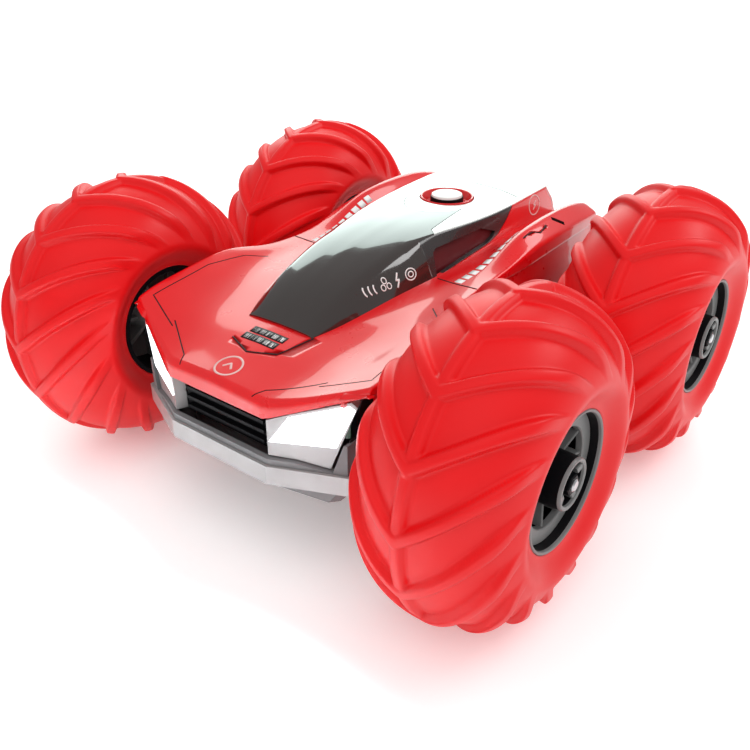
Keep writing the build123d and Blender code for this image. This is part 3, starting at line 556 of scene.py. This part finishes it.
# ---- Upper hull ----
# Each row: y, middle z, crease (x, z), crest (x, z), outer edge (x, z), hem z.
HULL_ROWS = [
    (-93.0, 64.9, (27.0, 63.8), (44.0, 69.5), (49.5, 72.0), 69.0),
    (-80.0, 67.3, (27.6, 66.2), (47.5, 71.7), (52.5, 73.2), 70.3),
    (-71.0, 69.6, (31.0, 68.7), (49.0, 74.0), (53.8, 75.4), 71.5),
    (-57.0, 72.0, (34.5, 71.2), (49.5, 75.4), (54.0, 76.6), 72.5),
    (-44.0, 74.0, (36.5, 73.7), (49.5, 77.0), (54.0, 78.0), 73.5),
    (-33.0, 75.0, (37.5, 75.0), (48.8, 78.2), (53.2, 79.0), 74.5),
    (-22.0, 75.8, (37.0, 75.8), (43.0, 77.0), (46.0, 77.4), 74.5),
    (-10.0, 76.0, (34.5, 76.3), (40.5, 76.9), (44.2, 77.1), 75.0),
    (6.0, 76.6, (32.5, 76.9), (40.0, 77.2), (44.0, 77.4), 75.0),
    (16.0, 77.2, (31.0, 77.6), (38.6, 79.8), (45.0, 79.2), 75.2),
    (24.0, 78.0, (30.5, 78.4), (38.6, 84.6), (45.8, 81.2), 75.5),
    (32.0, 78.6, (30.5, 79.2), (38.8, 87.6), (46.0, 82.0), 76.0),
    (45.0, 79.0, (30.5, 80.0), (39.0, 88.7), (46.3, 82.2), 76.5),
    (60.0, 79.0, (30.5, 80.3), (39.0, 88.7), (46.3, 82.2), 77.0),
    (72.0, 78.4, (30.5, 79.8), (39.0, 88.0), (46.2, 82.0), 77.0),
    (82.0, 77.6, (30.0, 78.6), (38.6, 86.0), (45.8, 81.4), 77.0),
    (88.5, 76.8, (30.0, 77.8), (38.2, 84.2), (45.2, 80.8), 77.0),
]


class StationTable:
    """Smoothed station values along Y."""

    def __init__(self, rows, sigma, step=0.5):
        flat = np.array([[row[0]] + [v for part in row[1:] for v in np.atleast_1d(part)] for row in rows])
        self.y = np.arange(flat[0, 0], flat[-1, 0] + step / 2, step)
        self.values = np.stack([
            smooth_line(np.interp(self.y, flat[:, 0], flat[:, k]), sigma / step)
            for k in range(1, flat.shape[1])
        ], axis=1)

    def at(self, y):
        return np.array([np.interp(y, self.y, self.values[:, k]) for k in range(self.values.shape[1])])


HULL = StationTable(HULL_ROWS, 5.0)


def hull_half_section(y):
    """Half outline of the upper hull from the middle to the seam, as fixed samples."""
    mid, xc, zc, xr, zr, xo, zo, hem = HULL.at(y)
    inner = min(xo - 1.6, 45.2)
    points = [
        (0.0, mid), (xc, zc), (xr, zr), (xo, zo), (xo - 0.1, hem), (inner, hem - 0.6),
        (45.6, SEAM_Z + 6.0), (45.6, SEAM_Z + 0.4),
    ]
    return rounded_line(points, [0, 9.0, 3.2, 1.5, 0.5, 0.8, 2.0], per_arc=6, per_run=4)


def nose_y(x):
    return NOSE_Y + max(0.0, abs(x) - NOSE_HALF) * NOSE_SLOPE


def lip_z(x):
    return LIP_MID_Z + LIP_RISE * max(0.0, abs(x) - NOSE_HALF)


def hull_surface():
    """Rows of points over the upper hull: nose face, top and tail face."""
    nose_round, tail_round = 2.6, 2.0
    count = len(hull_half_section(0.0))
    nose_at = np.full(count, NOSE_Y)
    for _ in range(6):
        for j in range(count):
            nose_at[j] = nose_y(hull_half_section(nose_at[j])[j][0])
    arcs = np.radians(np.linspace(0.0, 90.0, 7))
    tops = np.concatenate([
        np.linspace(NOSE_Y + nose_round, -24.0, 44), np.linspace(-22.5, TAIL_Y - tail_round, 66),
    ])
    cache = {}

    def section(y):
        key = round(y, 3)
        if key not in cache:
            cache[key] = hull_half_section(key)
        return cache[key]

    rows = []
    edge = np.array([section(nose_at[j])[j] for j in range(count)])
    over_lip = edge[:, 1] - np.array([lip_z(x) for x, _ in edge])
    radius = np.minimum(nose_round, np.maximum(0.0, 0.6 * over_lip))
    for t in np.linspace(0.0, 1.0, 8):
        row = []
        for j in range(count):
            low = lip_z(edge[j][0])
            high = edge[j][1] - radius[j]
            z = low + t * (high - low) if edge[j][1] > low + 0.05 and j < count - 24 else edge[j][1]
            row.append((edge[j][0], nose_at[j], z))
        rows.append(row)
    for angle in arcs[1:]:
        row = []
        for j in range(count):
            y = nose_at[j] + radius[j] * (1 - math.cos(angle))
            x, z = section(y)[j]
            row.append((x, y, z - radius[j] * (1 - math.sin(angle))))
        rows.append(row)
    for y in tops:
        blend = np.clip((-66.0 - y) / (-66.0 - tops[0]), 0.0, 1.0)
        row = []
        for j in range(count):
            here = y + blend * (nose_at[j] - NOSE_Y)
            here = max(here, nose_at[j] + radius[j] + 0.02)
            x, z = section(here)[j]
            row.append((x, here, z))
        rows.append(row)
    for angle in arcs[1:]:
        y = TAIL_Y - tail_round * (1 - math.sin(angle))
        rows.append([
            (x * (1 - 0.012 * (1 - math.cos(angle))), y,
             max(SEAM_Z + 0.4, z - tail_round * (1 - math.cos(angle)) * (z > 60.0)))
            for x, z in section(TAIL_Y)
        ])
    last = rows[-1]
    for t in np.linspace(0.0, 1.0, 6)[1:]:
        rows.append([(x, TAIL_Y, z + t * (SEAM_Z + 0.4 - z)) for x, _, z in last])
    return rows


def mirrored_grid(rows):
    """Whole-width grid from half rows that start at the middle."""
    verts, cols = [], 2 * len(rows[0]) - 1
    for row in rows:
        verts += [(-x, y, z) for x, y, z in reversed(row[1:])] + list(row)
    return verts, cols


def weld(obj, distance=0.004):
    """Merge doubled vertices and drop faces without area."""
    work = bmesh.new()
    work.from_mesh(obj.data)
    bmesh.ops.remove_doubles(work, verts=work.verts, dist=distance * MM)
    bmesh.ops.dissolve_degenerate(work, edges=work.edges, dist=0.002 * MM)
    work.to_mesh(obj.data)
    work.free()
    return obj


def tube_mesh(name, lines, radius, sides=8):
    """Closed round tubes along polylines, for cutting grooves."""
    verts, faces = [], []
    for line in lines:
        line = [np.array(p, float) for p in line]
        base = len(verts)
        for i, point in enumerate(line):
            ahead = line[min(i + 1, len(line) - 1)] - line[max(i - 1, 0)]
            ahead /= np.linalg.norm(ahead)
            side = np.cross(ahead, (0.0, 0.0, 1.0))
            if np.linalg.norm(side) < 0.1:
                side = np.cross(ahead, (1.0, 0.0, 0.0))
            side /= np.linalg.norm(side)
            up = np.cross(side, ahead)
            for k in range(sides):
                angle = 2 * math.pi * k / sides
                verts.append(tuple(point + radius * (side * math.cos(angle) + up * math.sin(angle))))
        quads = grid_faces(len(line), sides, wrap_cols=True)
        faces += [tuple(base + j for j in quad) for quad in quads]
        faces.append(tuple(base + k for k in range(sides)))
        last = base + (len(line) - 1) * sides
        faces.append(tuple(last + k for k in range(sides - 1, -1, -1)))
    return new_mesh(name, verts, faces)


def prism_mesh(name, outline, low, high):
    """Upright prism over an (x, y) outline."""
    verts = [(x, y, z) for z in (low, high) for x, y in outline]
    return new_mesh(name, verts, prism_faces(len(outline)))


def combine(obj, mesh, operation, solver="MANIFOLD"):
    """Boolean of an object with a closed mesh."""
    other = link("other", outward(mesh))
    add_modifier(obj, "BOOLEAN", object=other, operation=operation, solver=solver)
    apply_modifiers(obj)
    bpy.data.objects.remove(other)


def cut(obj, meshes, index=0, solver="MANIFOLD"):
    """Cut an object with closed meshes; their faces leave the given material index."""
    for mesh in meshes:
        for material in obj.data.materials:
            mesh.materials.append(material)
        for face in mesh.polygons:
            face.material_index = index
        combine(obj, mesh, "DIFFERENCE", solver)


class Surface:
    """Ray lookups on a finished mesh, from above or from one side."""

    def __init__(self, obj):
        verts = [v.co / MM for v in obj.data.vertices]
        self.tree = BVHTree.FromPolygons(verts, [tuple(p.vertices) for p in obj.data.polygons])

    def drop(self, x, y):
        return self.tree.ray_cast(Vector((x, y, ABOVE_CAR)), Vector((0, 0, -1)))[:2]

    def side(self, sign, y, z):
        return self.tree.ray_cast(Vector((sign * BESIDE_HULL, y, z)), Vector((-sign, 0, 0)))[:2]


def dense(points, step=1.0):
    """Polyline with extra points at a fixed spacing."""
    out = []
    for a, b in zip(points, points[1:]):
        a, b = np.array(a, float), np.array(b, float)
        count = max(1, int(np.linalg.norm(b - a) / step))
        out += [a + (b - a) * k / count for k in range(count)]
    return out + [np.array(points[-1], float)]


def top_line(surface, points):
    """Plan polyline dropped on a surface."""
    hits = [surface.drop(x, y)[0] for x, y in dense(points)]
    return [tuple(hit) for hit in hits if hit is not None]


def mirror_plan(points):
    return [(-x, y) for x, y in points]


def build_upper_hull():
    """Upper hull skin with its panel lines, cabin opening and tail opening."""
    rows = hull_surface()
    verts, cols = mirrored_grid(rows)
    hull = add_object(
        "upper_hull", verts, grid_faces(len(rows), cols), MATERIALS["body_red"], "chassis",
        ["upper_shell"],
    )
    hull.data.materials.append(MATERIALS["black_trim"])
    weld(hull)
    outward(hull.data)
    thicken(hull, HULL_WALL, use_even_offset=False)
    surface = Surface(hull)
    plan_lines = [
        [(10.4, -72.6), (15.1, -60.4)],
        [(16.5, -91.0), (18.8, -87.0), (29.3, -80.2), (35.0, -76.6)],
        [(33.5, -79.0), (49.4, -73.5), (49.4, -47.0), (44.6, -32.5), (38.5, -26.0)],
        [(26.2, -4.8), (43.2, -5.6)],
        [(41.0, 30.2), (45.6, 27.4)],
        [(41.0, 30.2), (41.4, 36.0), (43.0, 40.0), (42.2, 46.0)],
    ]
    groove_lines = [top_line(surface, line) for line in plan_lines]
    groove_lines += [top_line(surface, mirror_plan(line)) for line in plan_lines]
    groove_lines.append(top_line(surface, [(-10.4, -72.6), (0.0, -76.6), (10.4, -72.6)]))
    grooves = tube_mesh("grooves", [line for line in groove_lines if len(line) > 2], GROOVE_R)
    foot_line = [(foot[0] - 1.4, min(y, 75.2)) for y, foot, _, _ in CABIN_ROWS[1:]]
    well = [(-x, y) for x, y in foot_line] + foot_line[::-1]
    tail_hole = [(-34.0, 84.0), (34.0, 84.0), (34.0, 91.0), (-34.0, 91.0)]
    openings = [prism_mesh("well", well, 60.0, 110.0), prism_mesh("tail_hole", tail_hole, 56.0, 72.0)]
    corner = [(40.0, -98.0), (48.0, -98.0), (48.0, -66.0), (40.0, -66.0)]
    slot = [(40.6, 52.6), (43.9, 57.9), (44.9, 57.0), (41.6, 51.7)]
    slots = []
    for _, sign in SIDES:
        openings.append(prism_mesh("corner", [(sign * x, y) for x, y in corner], 50.0, 66.2))
        slots.append(prism_mesh("slot", [(sign * x, y) for x, y in slot], 82.8, 95.0))
    cut(hull, openings, solver="EXACT")
    cut(hull, [grooves] + slots, index=1, solver="EXACT")
    return smooth_by_angle(hull, 32.0)


# ---- Cabin ----
# Each row: y, foot (x, z), roof edge (x, z), crown z.
CABIN_ROWS = [
    (-60.8, (14.6, 70.8), (11.6, 71.9), 72.2),
    (-57.0, (17.0, 71.0), (12.6, 74.6), 75.2),
    (-50.0, (19.2, 72.0), (13.8, 78.6), 79.8),
    (-41.0, (21.0, 73.6), (14.8, 82.2), 83.6),
    (-23.0, (23.0, 75.0), (16.6, 87.2), 88.6),
    (-5.0, (24.8, 76.0), (18.0, 89.3), 90.7),
    (3.0, (25.4, 76.4), (18.6, 89.7), 91.0),
    (16.0, (26.0, 77.2), (21.8, 89.6), 91.0),
    (34.0, (26.8, 78.6), (24.3, 89.5), 90.8),
    (48.0, (27.0, 79.6), (25.1, 89.7), 90.7),
    (66.0, (27.0, 79.6), (25.0, 90.2), 90.9),
    (88.0, (25.9, 77.6), (24.2, 90.0), 90.4),
]
CABIN = StationTable(CABIN_ROWS, 6.5)
SPLIT_Y = -5.4
ROOF_BACK = 81.6
BUTTON_Y = 39.5
DISH_R = 11.2


def cabin_half_section(y, round_r):
    xf, zf, xr, zr, zk = CABIN.at(y)
    bulge = 0.9 if y < SPLIT_Y else 0.3
    middle = (0.5 * (xf + xr) + bulge, 0.5 * (zf + zr) + 0.2)
    points = [(0.0, zk), (0.55 * xr, zk - 0.22 * (zk - zr)), (xr, zr), middle, (xf, zf), (xf + 0.1, zf - 2.4)]
    return rounded_line(points, [0, 6.0, round_r, 8.0, 0.6], per_arc=8, per_run=3)


EDGE_COLUMN = 3 + 8 + 3 + 4


def cabin_point(y, column):
    """Point on the cabin skin, with a soft roof edge in front and a crisp one behind."""
    soft = 1.0 - ease((y + 34.0) / 40.0)
    return cabin_half_section(y, 0.9 + 5.5 * soft)[column]


def cabin_grid(y_values, last_column):
    rows = []
    for y in y_values:
        section = [cabin_point(y, c) for c in range(last_column + 1)]
        rows.append([(x, y, z) for x, z in section])
    return mirrored_grid(rows)


def glass_plan():
    """Plan region where the cabin's roof is canopy rather than deck, with an oval round the button."""
    half_width, half_length, middle_y, count = 14.2, 20.5, 38.0, 40
    turns = [2 * math.pi * k / count for k in range(count)]
    arc = [(half_width * math.sin(a), middle_y - half_length * math.cos(a)) for a in turns]
    arc = sorted([point for point in arc if point[1] < 30.5], key=lambda point: -point[0])
    return [
        (40.0, -80.0), (40.0, 2.6), (18.9, 2.6), (15.8, 5.2), (12.6, 30.5),
        *arc, (-12.6, 30.5), (-15.8, 5.2), (-18.9, 2.6), (-40.0, 2.6), (-40.0, -80.0),
    ]


def grown(outline, amount):
    """Outline moved outwards by an amount, point by point along its corner bisectors."""
    points = [np.array(p, float) for p in outline]
    area = sum(a[0] * b[1] - b[0] * a[1] for a, b in zip(points, points[1:] + points[:1]))
    turn = 1.0 if area > 0 else -1.0
    out = []
    for i, point in enumerate(points):
        before = point - points[i - 1]
        after = points[(i + 1) % len(points)] - point
        normals = []
        for edge in (before, after):
            size = max(1e-9, np.linalg.norm(edge))
            normals.append(np.array((edge[1], -edge[0])) * turn / size)
        bisector = normals[0] + normals[1]
        size = max(0.5, np.linalg.norm(bisector))
        out.append(tuple(point + bisector / size * amount))
    return out


def side_prism(name, outline, sign):
    """Prism along X over a (y, z) outline on one side of the car."""
    verts = [(sign * x, y, z) for x in (12.0, 40.0) for y, z in outline]
    return new_mesh(name, verts, prism_faces(len(outline)))


FRAME_OUTLINE = [
    (SPLIT_Y, 70.0), (SPLIT_Y, 96.0), (51.0, 96.0), (50.6, 90.6), (43.3, 85.4), (36.8, 81.6),
    (31.0, 79.9), (24.0, 79.0), (10.0, 77.6), (0.0, 76.4), (0.0, 70.0),
]
RECESS_OUTLINE = [
    (-3.6, 75.0), (-1.2, 84.2), (0.8, 85.2), (26.8, 86.2), (35.2, 83.0), (33.0, 81.2), (29.0, 79.9),
    (22.0, 79.2), (9.6, 77.8), (0.0, 76.6), (0.0, 75.0),
]
FIN_OUTLINE = [
    (0.3, 74.0), (0.3, 76.1), (10.0, 77.3), (24.0, 78.7), (31.1, 79.6), (37.0, 81.3), (43.6, 85.1),
    (51.0, 90.4), (51.4, 96.0), (74.6, 96.0), (78.0, 90.6), (83.4, 84.0), (86.2, 77.0), (86.2, 72.0),
]


def side_plate(sign):
    """Side skin of the cabin behind the window."""
    rows = []
    first, last = EDGE_COLUMN - 2, len(cabin_half_section(0.0, 1.0)) - 1
    for y in np.linspace(SPLIT_Y, 87.0, 94):
        rows.append([
            (sign * cabin_point(y, c)[0], y, cabin_point(y, c)[1]) for c in range(first, last + 1)
        ])
    return [v for row in rows for v in row], grid_faces(len(rows), len(rows[0]))


def build_button():
    """Domed white cap on a black skirt, in its dished bezel."""
    centre = (0.0, BUTTON_Y)
    turned("button_top", [
        (0.02, 90.2), (6.3, 90.2), (6.3, 91.5), (6.1, 91.95), (5.6, 92.2), (4.6, 92.3), (3.2, 92.15),
        (0.02, 92.0),
    ], centre, MATERIALS["button_white"], "power_button", ["power_button"])
    turned("button_skirt", [
        (0.02, 87.2), (6.6, 87.2), (6.72, 87.5), (6.72, 90.9), (6.5, 91.2), (6.32, 91.2), (6.28, 90.1),
        (0.02, 90.1),
    ], centre, MATERIALS["rim_black"], "power_button")
    ring = [(7.1, 86.0), (10.85, 86.0), (10.85, 91.0), (10.6, 91.25), (10.1, 91.1), (8.7, 88.4), (7.1, 88.2)]
    turned("bezel_dish", ring, centre, MATERIALS["body_red"], "chassis", ["power_bezel"])


def build_rear_wall():
    """Slatted wall that closes the space under the rear of the roof deck."""
    low, front, back = 74.0, 75.6, 77.2
    half = [(x, z) for x, z in cabin_half_section(76.0, 1.2) if z > low]
    half = [(x * 0.93, min(z - 1.7, 88.9)) for x, z in half]
    outline = [(-x, z) for x, z in reversed(half)] + half[1:] + [(half[-1][0], low), (-half[-1][0], low)]
    verts = [(x, y, z) for y in (front, back) for x, z in outline]
    wall = add_object(
        "deck_rear_wall", verts, prism_faces(len(outline)), MATERIALS["frame_black"], "chassis",
    )
    outward(wall.data)
    slats = [
        prism_mesh("slat", [(-20.0, 76.4), (20.0, 76.4), (20.0, 79.0), (-20.0, 79.0)], z, z + 1.1)
        for z in (79.0, 81.4, 83.8, 86.2)
    ]
    cut(wall, slats)
    soften(wall)


def build_glass():
    """Smoked canopy: the whole front of the cabin and the roof up to the deck."""
    glass_y = np.concatenate([np.linspace(-60.8, SPLIT_Y, 90), np.linspace(SPLIT_Y + 0.5, 32.0, 60)])
    full = len(cabin_half_section(0.0, 1.0)) - 1
    verts, cols = cabin_grid(glass_y, full)
    faces = []
    for face in grid_faces(len(glass_y), cols):
        middle_y = np.mean([verts[i][1] for i in face])
        column = max(abs(i % cols - full) for i in face)
        if middle_y <= SPLIT_Y or column <= EDGE_COLUMN:
            faces.append(face)
    glass = add_object(
        "canopy_glass", verts, faces, MATERIALS["smoked_window"], "chassis", ["canopy"],
    )
    weld(glass)
    outward(glass.data)
    thicken(glass, GLASS_WALL)
    combine(glass, prism_mesh("glass_plan", glass_plan(), 55.0, 110.0), "INTERSECT")
    return soften(glass, 0.12)


def build_deck():
    """Roof panel behind the canopy, with its seams and the hole for the button's dish."""
    deck_y = np.linspace(2.9, ROOF_BACK, 130)
    verts, cols = cabin_grid(deck_y, EDGE_COLUMN)
    deck = add_object(
        "roof_deck_skin", verts, grid_faces(len(deck_y), cols), MATERIALS["roof_silver"], "chassis",
        ["roof_deck"],
    )
    deck.data.materials.append(MATERIALS["black_trim"])
    outward(deck.data)
    thicken(deck, DECK_WALL)
    surface = Surface(deck)
    cut(deck, [prism_mesh("glass_gap", grown(glass_plan(), 0.22), 60.0, 110.0)])
    turns = [2 * math.pi * k / 72 for k in range(72)]
    disc = [(DISH_R * math.sin(a), BUTTON_Y + DISH_R * math.cos(a)) for a in turns]
    cut(deck, [prism_mesh("dish_hole", disc, 80.0, 110.0)])
    seams = [
        [(-22.0, 58.2), (-12.0, 61.2), (0.0, 62.2), (12.0, 61.2), (22.0, 58.2)],
        [(15.8, 5.2), (12.6, 30.5)],
        [(-15.8, 5.2), (-12.6, 30.5)],
    ]
    cut(deck, [tube_mesh("deck_grooves", [top_line(surface, seam) for seam in seams], SEAM_R)], index=1)
    soften(deck)


def side_skin(name, side, sign, finish, outline, stands_for):
    """One outlined piece of the cabin's side skin."""
    verts, faces = side_plate(sign)
    plate = add_object(f"{name}_{side}", verts, faces, MATERIALS[finish], "chassis", stands_for)
    outward(plate.data)
    if sum(p.normal.x * sign for p in plate.data.polygons) < 0:
        plate.data.flip_normals()
    thicken(plate, PLATE_WALL)
    combine(plate, side_prism(f"{name}_plan", outline, sign), "INTERSECT")
    return plate


def build_flank(side, sign):
    """Intake frame, rear fin and the dark liner behind the frame's opening."""
    plate = side_skin("intake_frame", side, sign, "frame_black", FRAME_OUTLINE, [f"side_intake_{side}"])
    cut(plate, [side_prism("recess", RECESS_OUTLINE, sign)])
    soften(plate, 0.2)
    fin = side_skin("fin", side, sign, "body_red", FIN_OUTLINE, [])
    surface = Surface(fin)
    hits = [surface.side(sign, y, z)[0] for y, z in dense([(76.6, 91.2), (82.8, 83.4), (84.4, 78.6)])]
    fin.data.materials.append(MATERIALS["black_trim"])
    cut(fin, [tube_mesh("fin_groove", [[hit for hit in hits if hit is not None]], SEAM_R)], index=1)
    soften(fin, 0.2)
    full = len(cabin_half_section(0.0, 1.0)) - 1
    rows = []
    for t in np.linspace(0.0, 1.0, 24):
        y, depth = -5.0 + 43.0 * t, 4.2 - 2.6 * t
        section = [cabin_point(y, c) for c in range(EDGE_COLUMN + 1, full + 1)]
        rows.append([(sign * (x - depth), y, z) for x, z in section])
    liner = add_object(
        f"intake_liner_{side}", [v for row in rows for v in row], grid_faces(len(rows), len(rows[0])),
        MATERIALS["maroon_trim"], "chassis",
    )
    add_modifier(liner, "SOLIDIFY", thickness=LINER_WALL * MM, offset=0.0)
    smooth_by_angle(liner, 30.0)


# ---- Small surface marks, all generic shapes ----
def ribbon(name, hits, width, material, closed=False):
    """Thin flat strip along the points where rays met a surface."""
    found = [(np.array(hit), np.array(normal)) for hit, normal in hits if hit is not None]
    count = len(found)
    verts, faces = [], []
    for i, (point, normal) in enumerate(found):
        before = found[(i - 1) % count][0] if closed else found[max(i - 1, 0)][0]
        after = found[(i + 1) % count][0] if closed else found[min(i + 1, count - 1)][0]
        ahead = after - before
        ahead /= max(1e-9, np.linalg.norm(ahead))
        side = np.cross(ahead, normal)
        side /= max(1e-9, np.linalg.norm(side))
        for offset in (-width / 2, width / 2):
            verts.append(point + side * offset + normal * MARK_LIFT)
    for i in range(count if closed else count - 1):
        n = (i + 1) % count
        faces.append((2 * i, 2 * i + 1, 2 * n + 1, 2 * n))
    obj = add_object(name, verts, faces, material, "chassis")
    add_modifier(obj, "SOLIDIFY", thickness=MARK_WALL * MM, offset=0.0)


def line_on_top(name, surface, plan, width, material, step=0.5):
    ribbon(name, [surface.drop(x, y) for x, y in dense(plan, step)], width, material)


def line_on_side(name, surface, sign, places, width, material, step=0.3):
    ribbon(name, [surface.side(sign, y, z) for y, z in dense(places, step)], width, material)


def oval(middle, halves, count, start=0.0, end=2 * math.pi):
    """Points round an oval, from one angle to another."""
    angles = np.linspace(start, end, count)
    return [(middle[0] + halves[0] * math.cos(a), middle[1] + halves[1] * math.sin(a)) for a in angles]


def build_marks(hull, glass):
    """Rings, bars and small pictograms that stand in for the printed marks."""
    top = Surface(hull)
    window = Surface(glass)
    white, pale = MATERIALS["mark_white"], MATERIALS["mark_pale"]
    black = MATERIALS["black_trim"]
    around = oval((0.0, -84.6), (4.6, 4.6), 49)[:-1]
    ribbon("bonnet_ring", [top.drop(x, y) for x, y in around], 0.75, pale, True)
    line_on_top("bonnet_chevron_a", top, [(-1.9, -85.6), (0.0, -83.4), (1.9, -85.6)], 0.8, pale, 0.3)
    for row, (y, shift) in enumerate(((-66.2, 0.3), (-70.0, -0.3))):
        line_on_top(f"panel_back_{row}", top, [(-7.6 + shift, y), (7.6 + shift, y)], 3.3, black)
        for k in range(5):
            x = -6.6 + shift + 2.85 * k
            line_on_top(f"panel_bar_{row}_{k}", top, [(x, y), (x + 2.0, y)], 2.1, white)
    for side, sign in SIDES:
        for k in range(9):
            y = -4.0 + 4.4 * k
            x = 34.2 + 0.045 * (y + 4.0)
            line_on_top(f"shoulder_bar_{side}_{k}", top, [(sign * x, y), (sign * x, y + 3.2)], 3.0, white)
        for k in range(3):
            arc = oval((-36.5 + 2.1 * k, 80.0), (0.9, 1.5), 8, 2.0, 4.3)
            line_on_side(f"window_arc_{side}_{k}", window, sign, arc, 0.55, white)
        for k, (dy, dz) in enumerate(((0.0, 1.4), (-1.3, -0.6), (1.3, -0.6))):
            circle = oval((-28.0 + dy, 80.2 + dz), (0.95, 0.95), 17)
            line_on_side(f"window_dot_{side}_{k}", window, sign, circle, 0.4, white)
        bolt = [(-21.4, 82.6), (-23.0, 80.4), (-21.6, 80.4), (-23.2, 78.0)]
        line_on_side(f"window_bolt_{side}", window, sign, bolt, 0.7, white)
        for kind, halves in (("ring", (2.5, 1.9)), ("ring_inner", (1.2, 0.9))):
            circle = oval((-15.6, 80.6), halves, 33)
            line_on_side(f"window_{kind}_{side}", window, sign, circle, 0.45, white)
        fin = Surface(bpy.data.objects[f"fin_{side}"])
        line_on_side(f"fin_ring_{side}", fin, sign, oval((66.4, 85.4), (4.6, 3.9), 41), 0.6, pale, 0.4)
        chevron = [(68.0, 87.0), (65.6, 85.6), (67.4, 85.2), (65.0, 83.8)]
        line_on_side(f"fin_chevron_{side}", fin, sign, chevron, 0.6, pale)


# ---- CAD nodes that are shown with finishing ----
SLOT_FINISH = {"motor_can": "steel", "gearbox_black": "black_trim", "cable_black": "seal_rubber"}
DARK_NODES = ("front_grille", "tail_panel")


def finish_nodes():
    """Bevels and materials on every CAD node that stays visible."""
    bevels = {"lower_shell": 0.6, "front_bumper": 0.5, "battery_door": 0.3, "headlight_bezels": 0.25}
    for part in frame["record"]["subparts"]:
        name = part["node"]
        node = frame["nodes"][name]
        if node.hide_render:
            continue
        node.data.materials.clear()
        slot = part["material_slot"]
        finish = "rim_black" if name in DARK_NODES else SLOT_FINISH.get(slot, slot)
        node.data.materials.append(MATERIALS[finish])
        add_modifier(
            node, "BEVEL", width=bevels.get(name, 0.15) * MM, segments=3, limit_method="ANGLE",
            angle_limit=math.radians(40.0), harden_normals=False,
        )
        add_modifier(node, "WEIGHTED_NORMAL", keep_sharp=True)


# ---- Studio ----
CAR_MIDDLE = (0.0, 0.0, 0.05)                   # metres
CAMERA_PLACE = (0.17955, -0.23935, 0.19617)     # metres
CAMERA_AZIMUTH, CAMERA_ELEVATION = math.radians(37.85), math.radians(29.82)


def look_from(obj, position, target):
    direction = Vector(target) - Vector(position)
    obj.location = position
    obj.rotation_euler = direction.to_track_quat("-Z", "Y").to_euler()


def add_area(name, position, target, size, power, colour=(1, 1, 1)):
    light = bpy.data.lights.new(name, "AREA")
    light.shape = "RECTANGLE"
    light.size, light.size_y = size
    light.energy = power
    light.color = colour
    obj = link(name, light)
    look_from(obj, position, target)
    return obj


def build_floor():
    """Pale paper floor that also glows a little, and a grey-white sky."""
    half = 6.0
    corners = [(-half, -half, 0), (half, -half, 0), (half, half, 0), (-half, half, 0)]
    mesh = bpy.data.meshes.new("studio_floor")
    mesh.from_pydata(corners, [], [(0, 1, 2, 3)])
    paper = Shader("studio_paper", (0.92, 0.92, 0.92), 0.6)
    paper.vary_rough(3.0, 0.55, 0.7).glow((1.0, 1.0, 1.0), 0.22)
    mesh.materials.append(paper.material)
    link("studio_floor", mesh)
    world = bpy.data.worlds.new("studio")
    world.use_nodes = True
    sky = world.node_tree.nodes["Background"]
    sky.inputs["Color"].default_value = (1.0, 1.0, 1.0, 1.0)
    sky.inputs["Strength"].default_value = 0.42
    bpy.context.scene.world = world
    bpy.context.scene.view_settings.view_transform = "Standard"


def build_lights():
    """Soft sun, two reflection cards behind the car and the lamps' light on the floor."""
    add_area("card", (-0.95, 1.15, 0.72), CAR_MIDDLE, (1.5, 1.0), 14.0, (0.84, 1.0, 0.95))
    add_area("back_card", (0.72, 0.95, 1.05), CAR_MIDDLE, (0.8, 0.45), 5.0)
    sun_data = bpy.data.lights.new("soft_sun", "SUN")
    sun_data.energy = 1.8
    sun_data.angle = math.radians(75.0)
    sun = link("soft_sun", sun_data)
    sun.visible_glossy = False
    look_from(sun, (0.5, -0.7, 1.6), (0.0, 0.0, 0.0))
    for side, sign in SIDES:
        glow = add_area(
            f"lamp_glow_{side}", (sign * 0.040, -0.112, 0.060), (sign * 0.060, -0.30, 0.0),
            (0.03, 0.02), 0.10, (0.92, 0.95, 1.0),
        )
        glow.data.spread = math.radians(150.0)


def build_camera():
    """Camera above the car's front left corner, looking down at it."""
    data = bpy.data.cameras.new("camera")
    camera = link("camera", data)
    data.lens = 39.9
    data.sensor_width = 36.0
    data.clip_start = 0.01
    level = math.cos(CAMERA_ELEVATION)
    back = Vector((
        math.sin(CAMERA_AZIMUTH) * level, -math.cos(CAMERA_AZIMUTH) * level, math.sin(CAMERA_ELEVATION),
    ))
    camera.location = CAMERA_PLACE
    camera.rotation_euler = (-back).to_track_quat("-Z", "Y").to_euler()
    bpy.context.scene.camera = camera


# ---- Scene ----
build_wheels()
hull_object = build_upper_hull()
glass_object = build_glass()
build_deck()
for side_name, side_sign in SIDES:
    build_flank(side_name, side_sign)
build_button()
build_rear_wall()
build_marks(hull_object, glass_object)
finish_nodes()
build_floor()
build_lights()
build_camera()
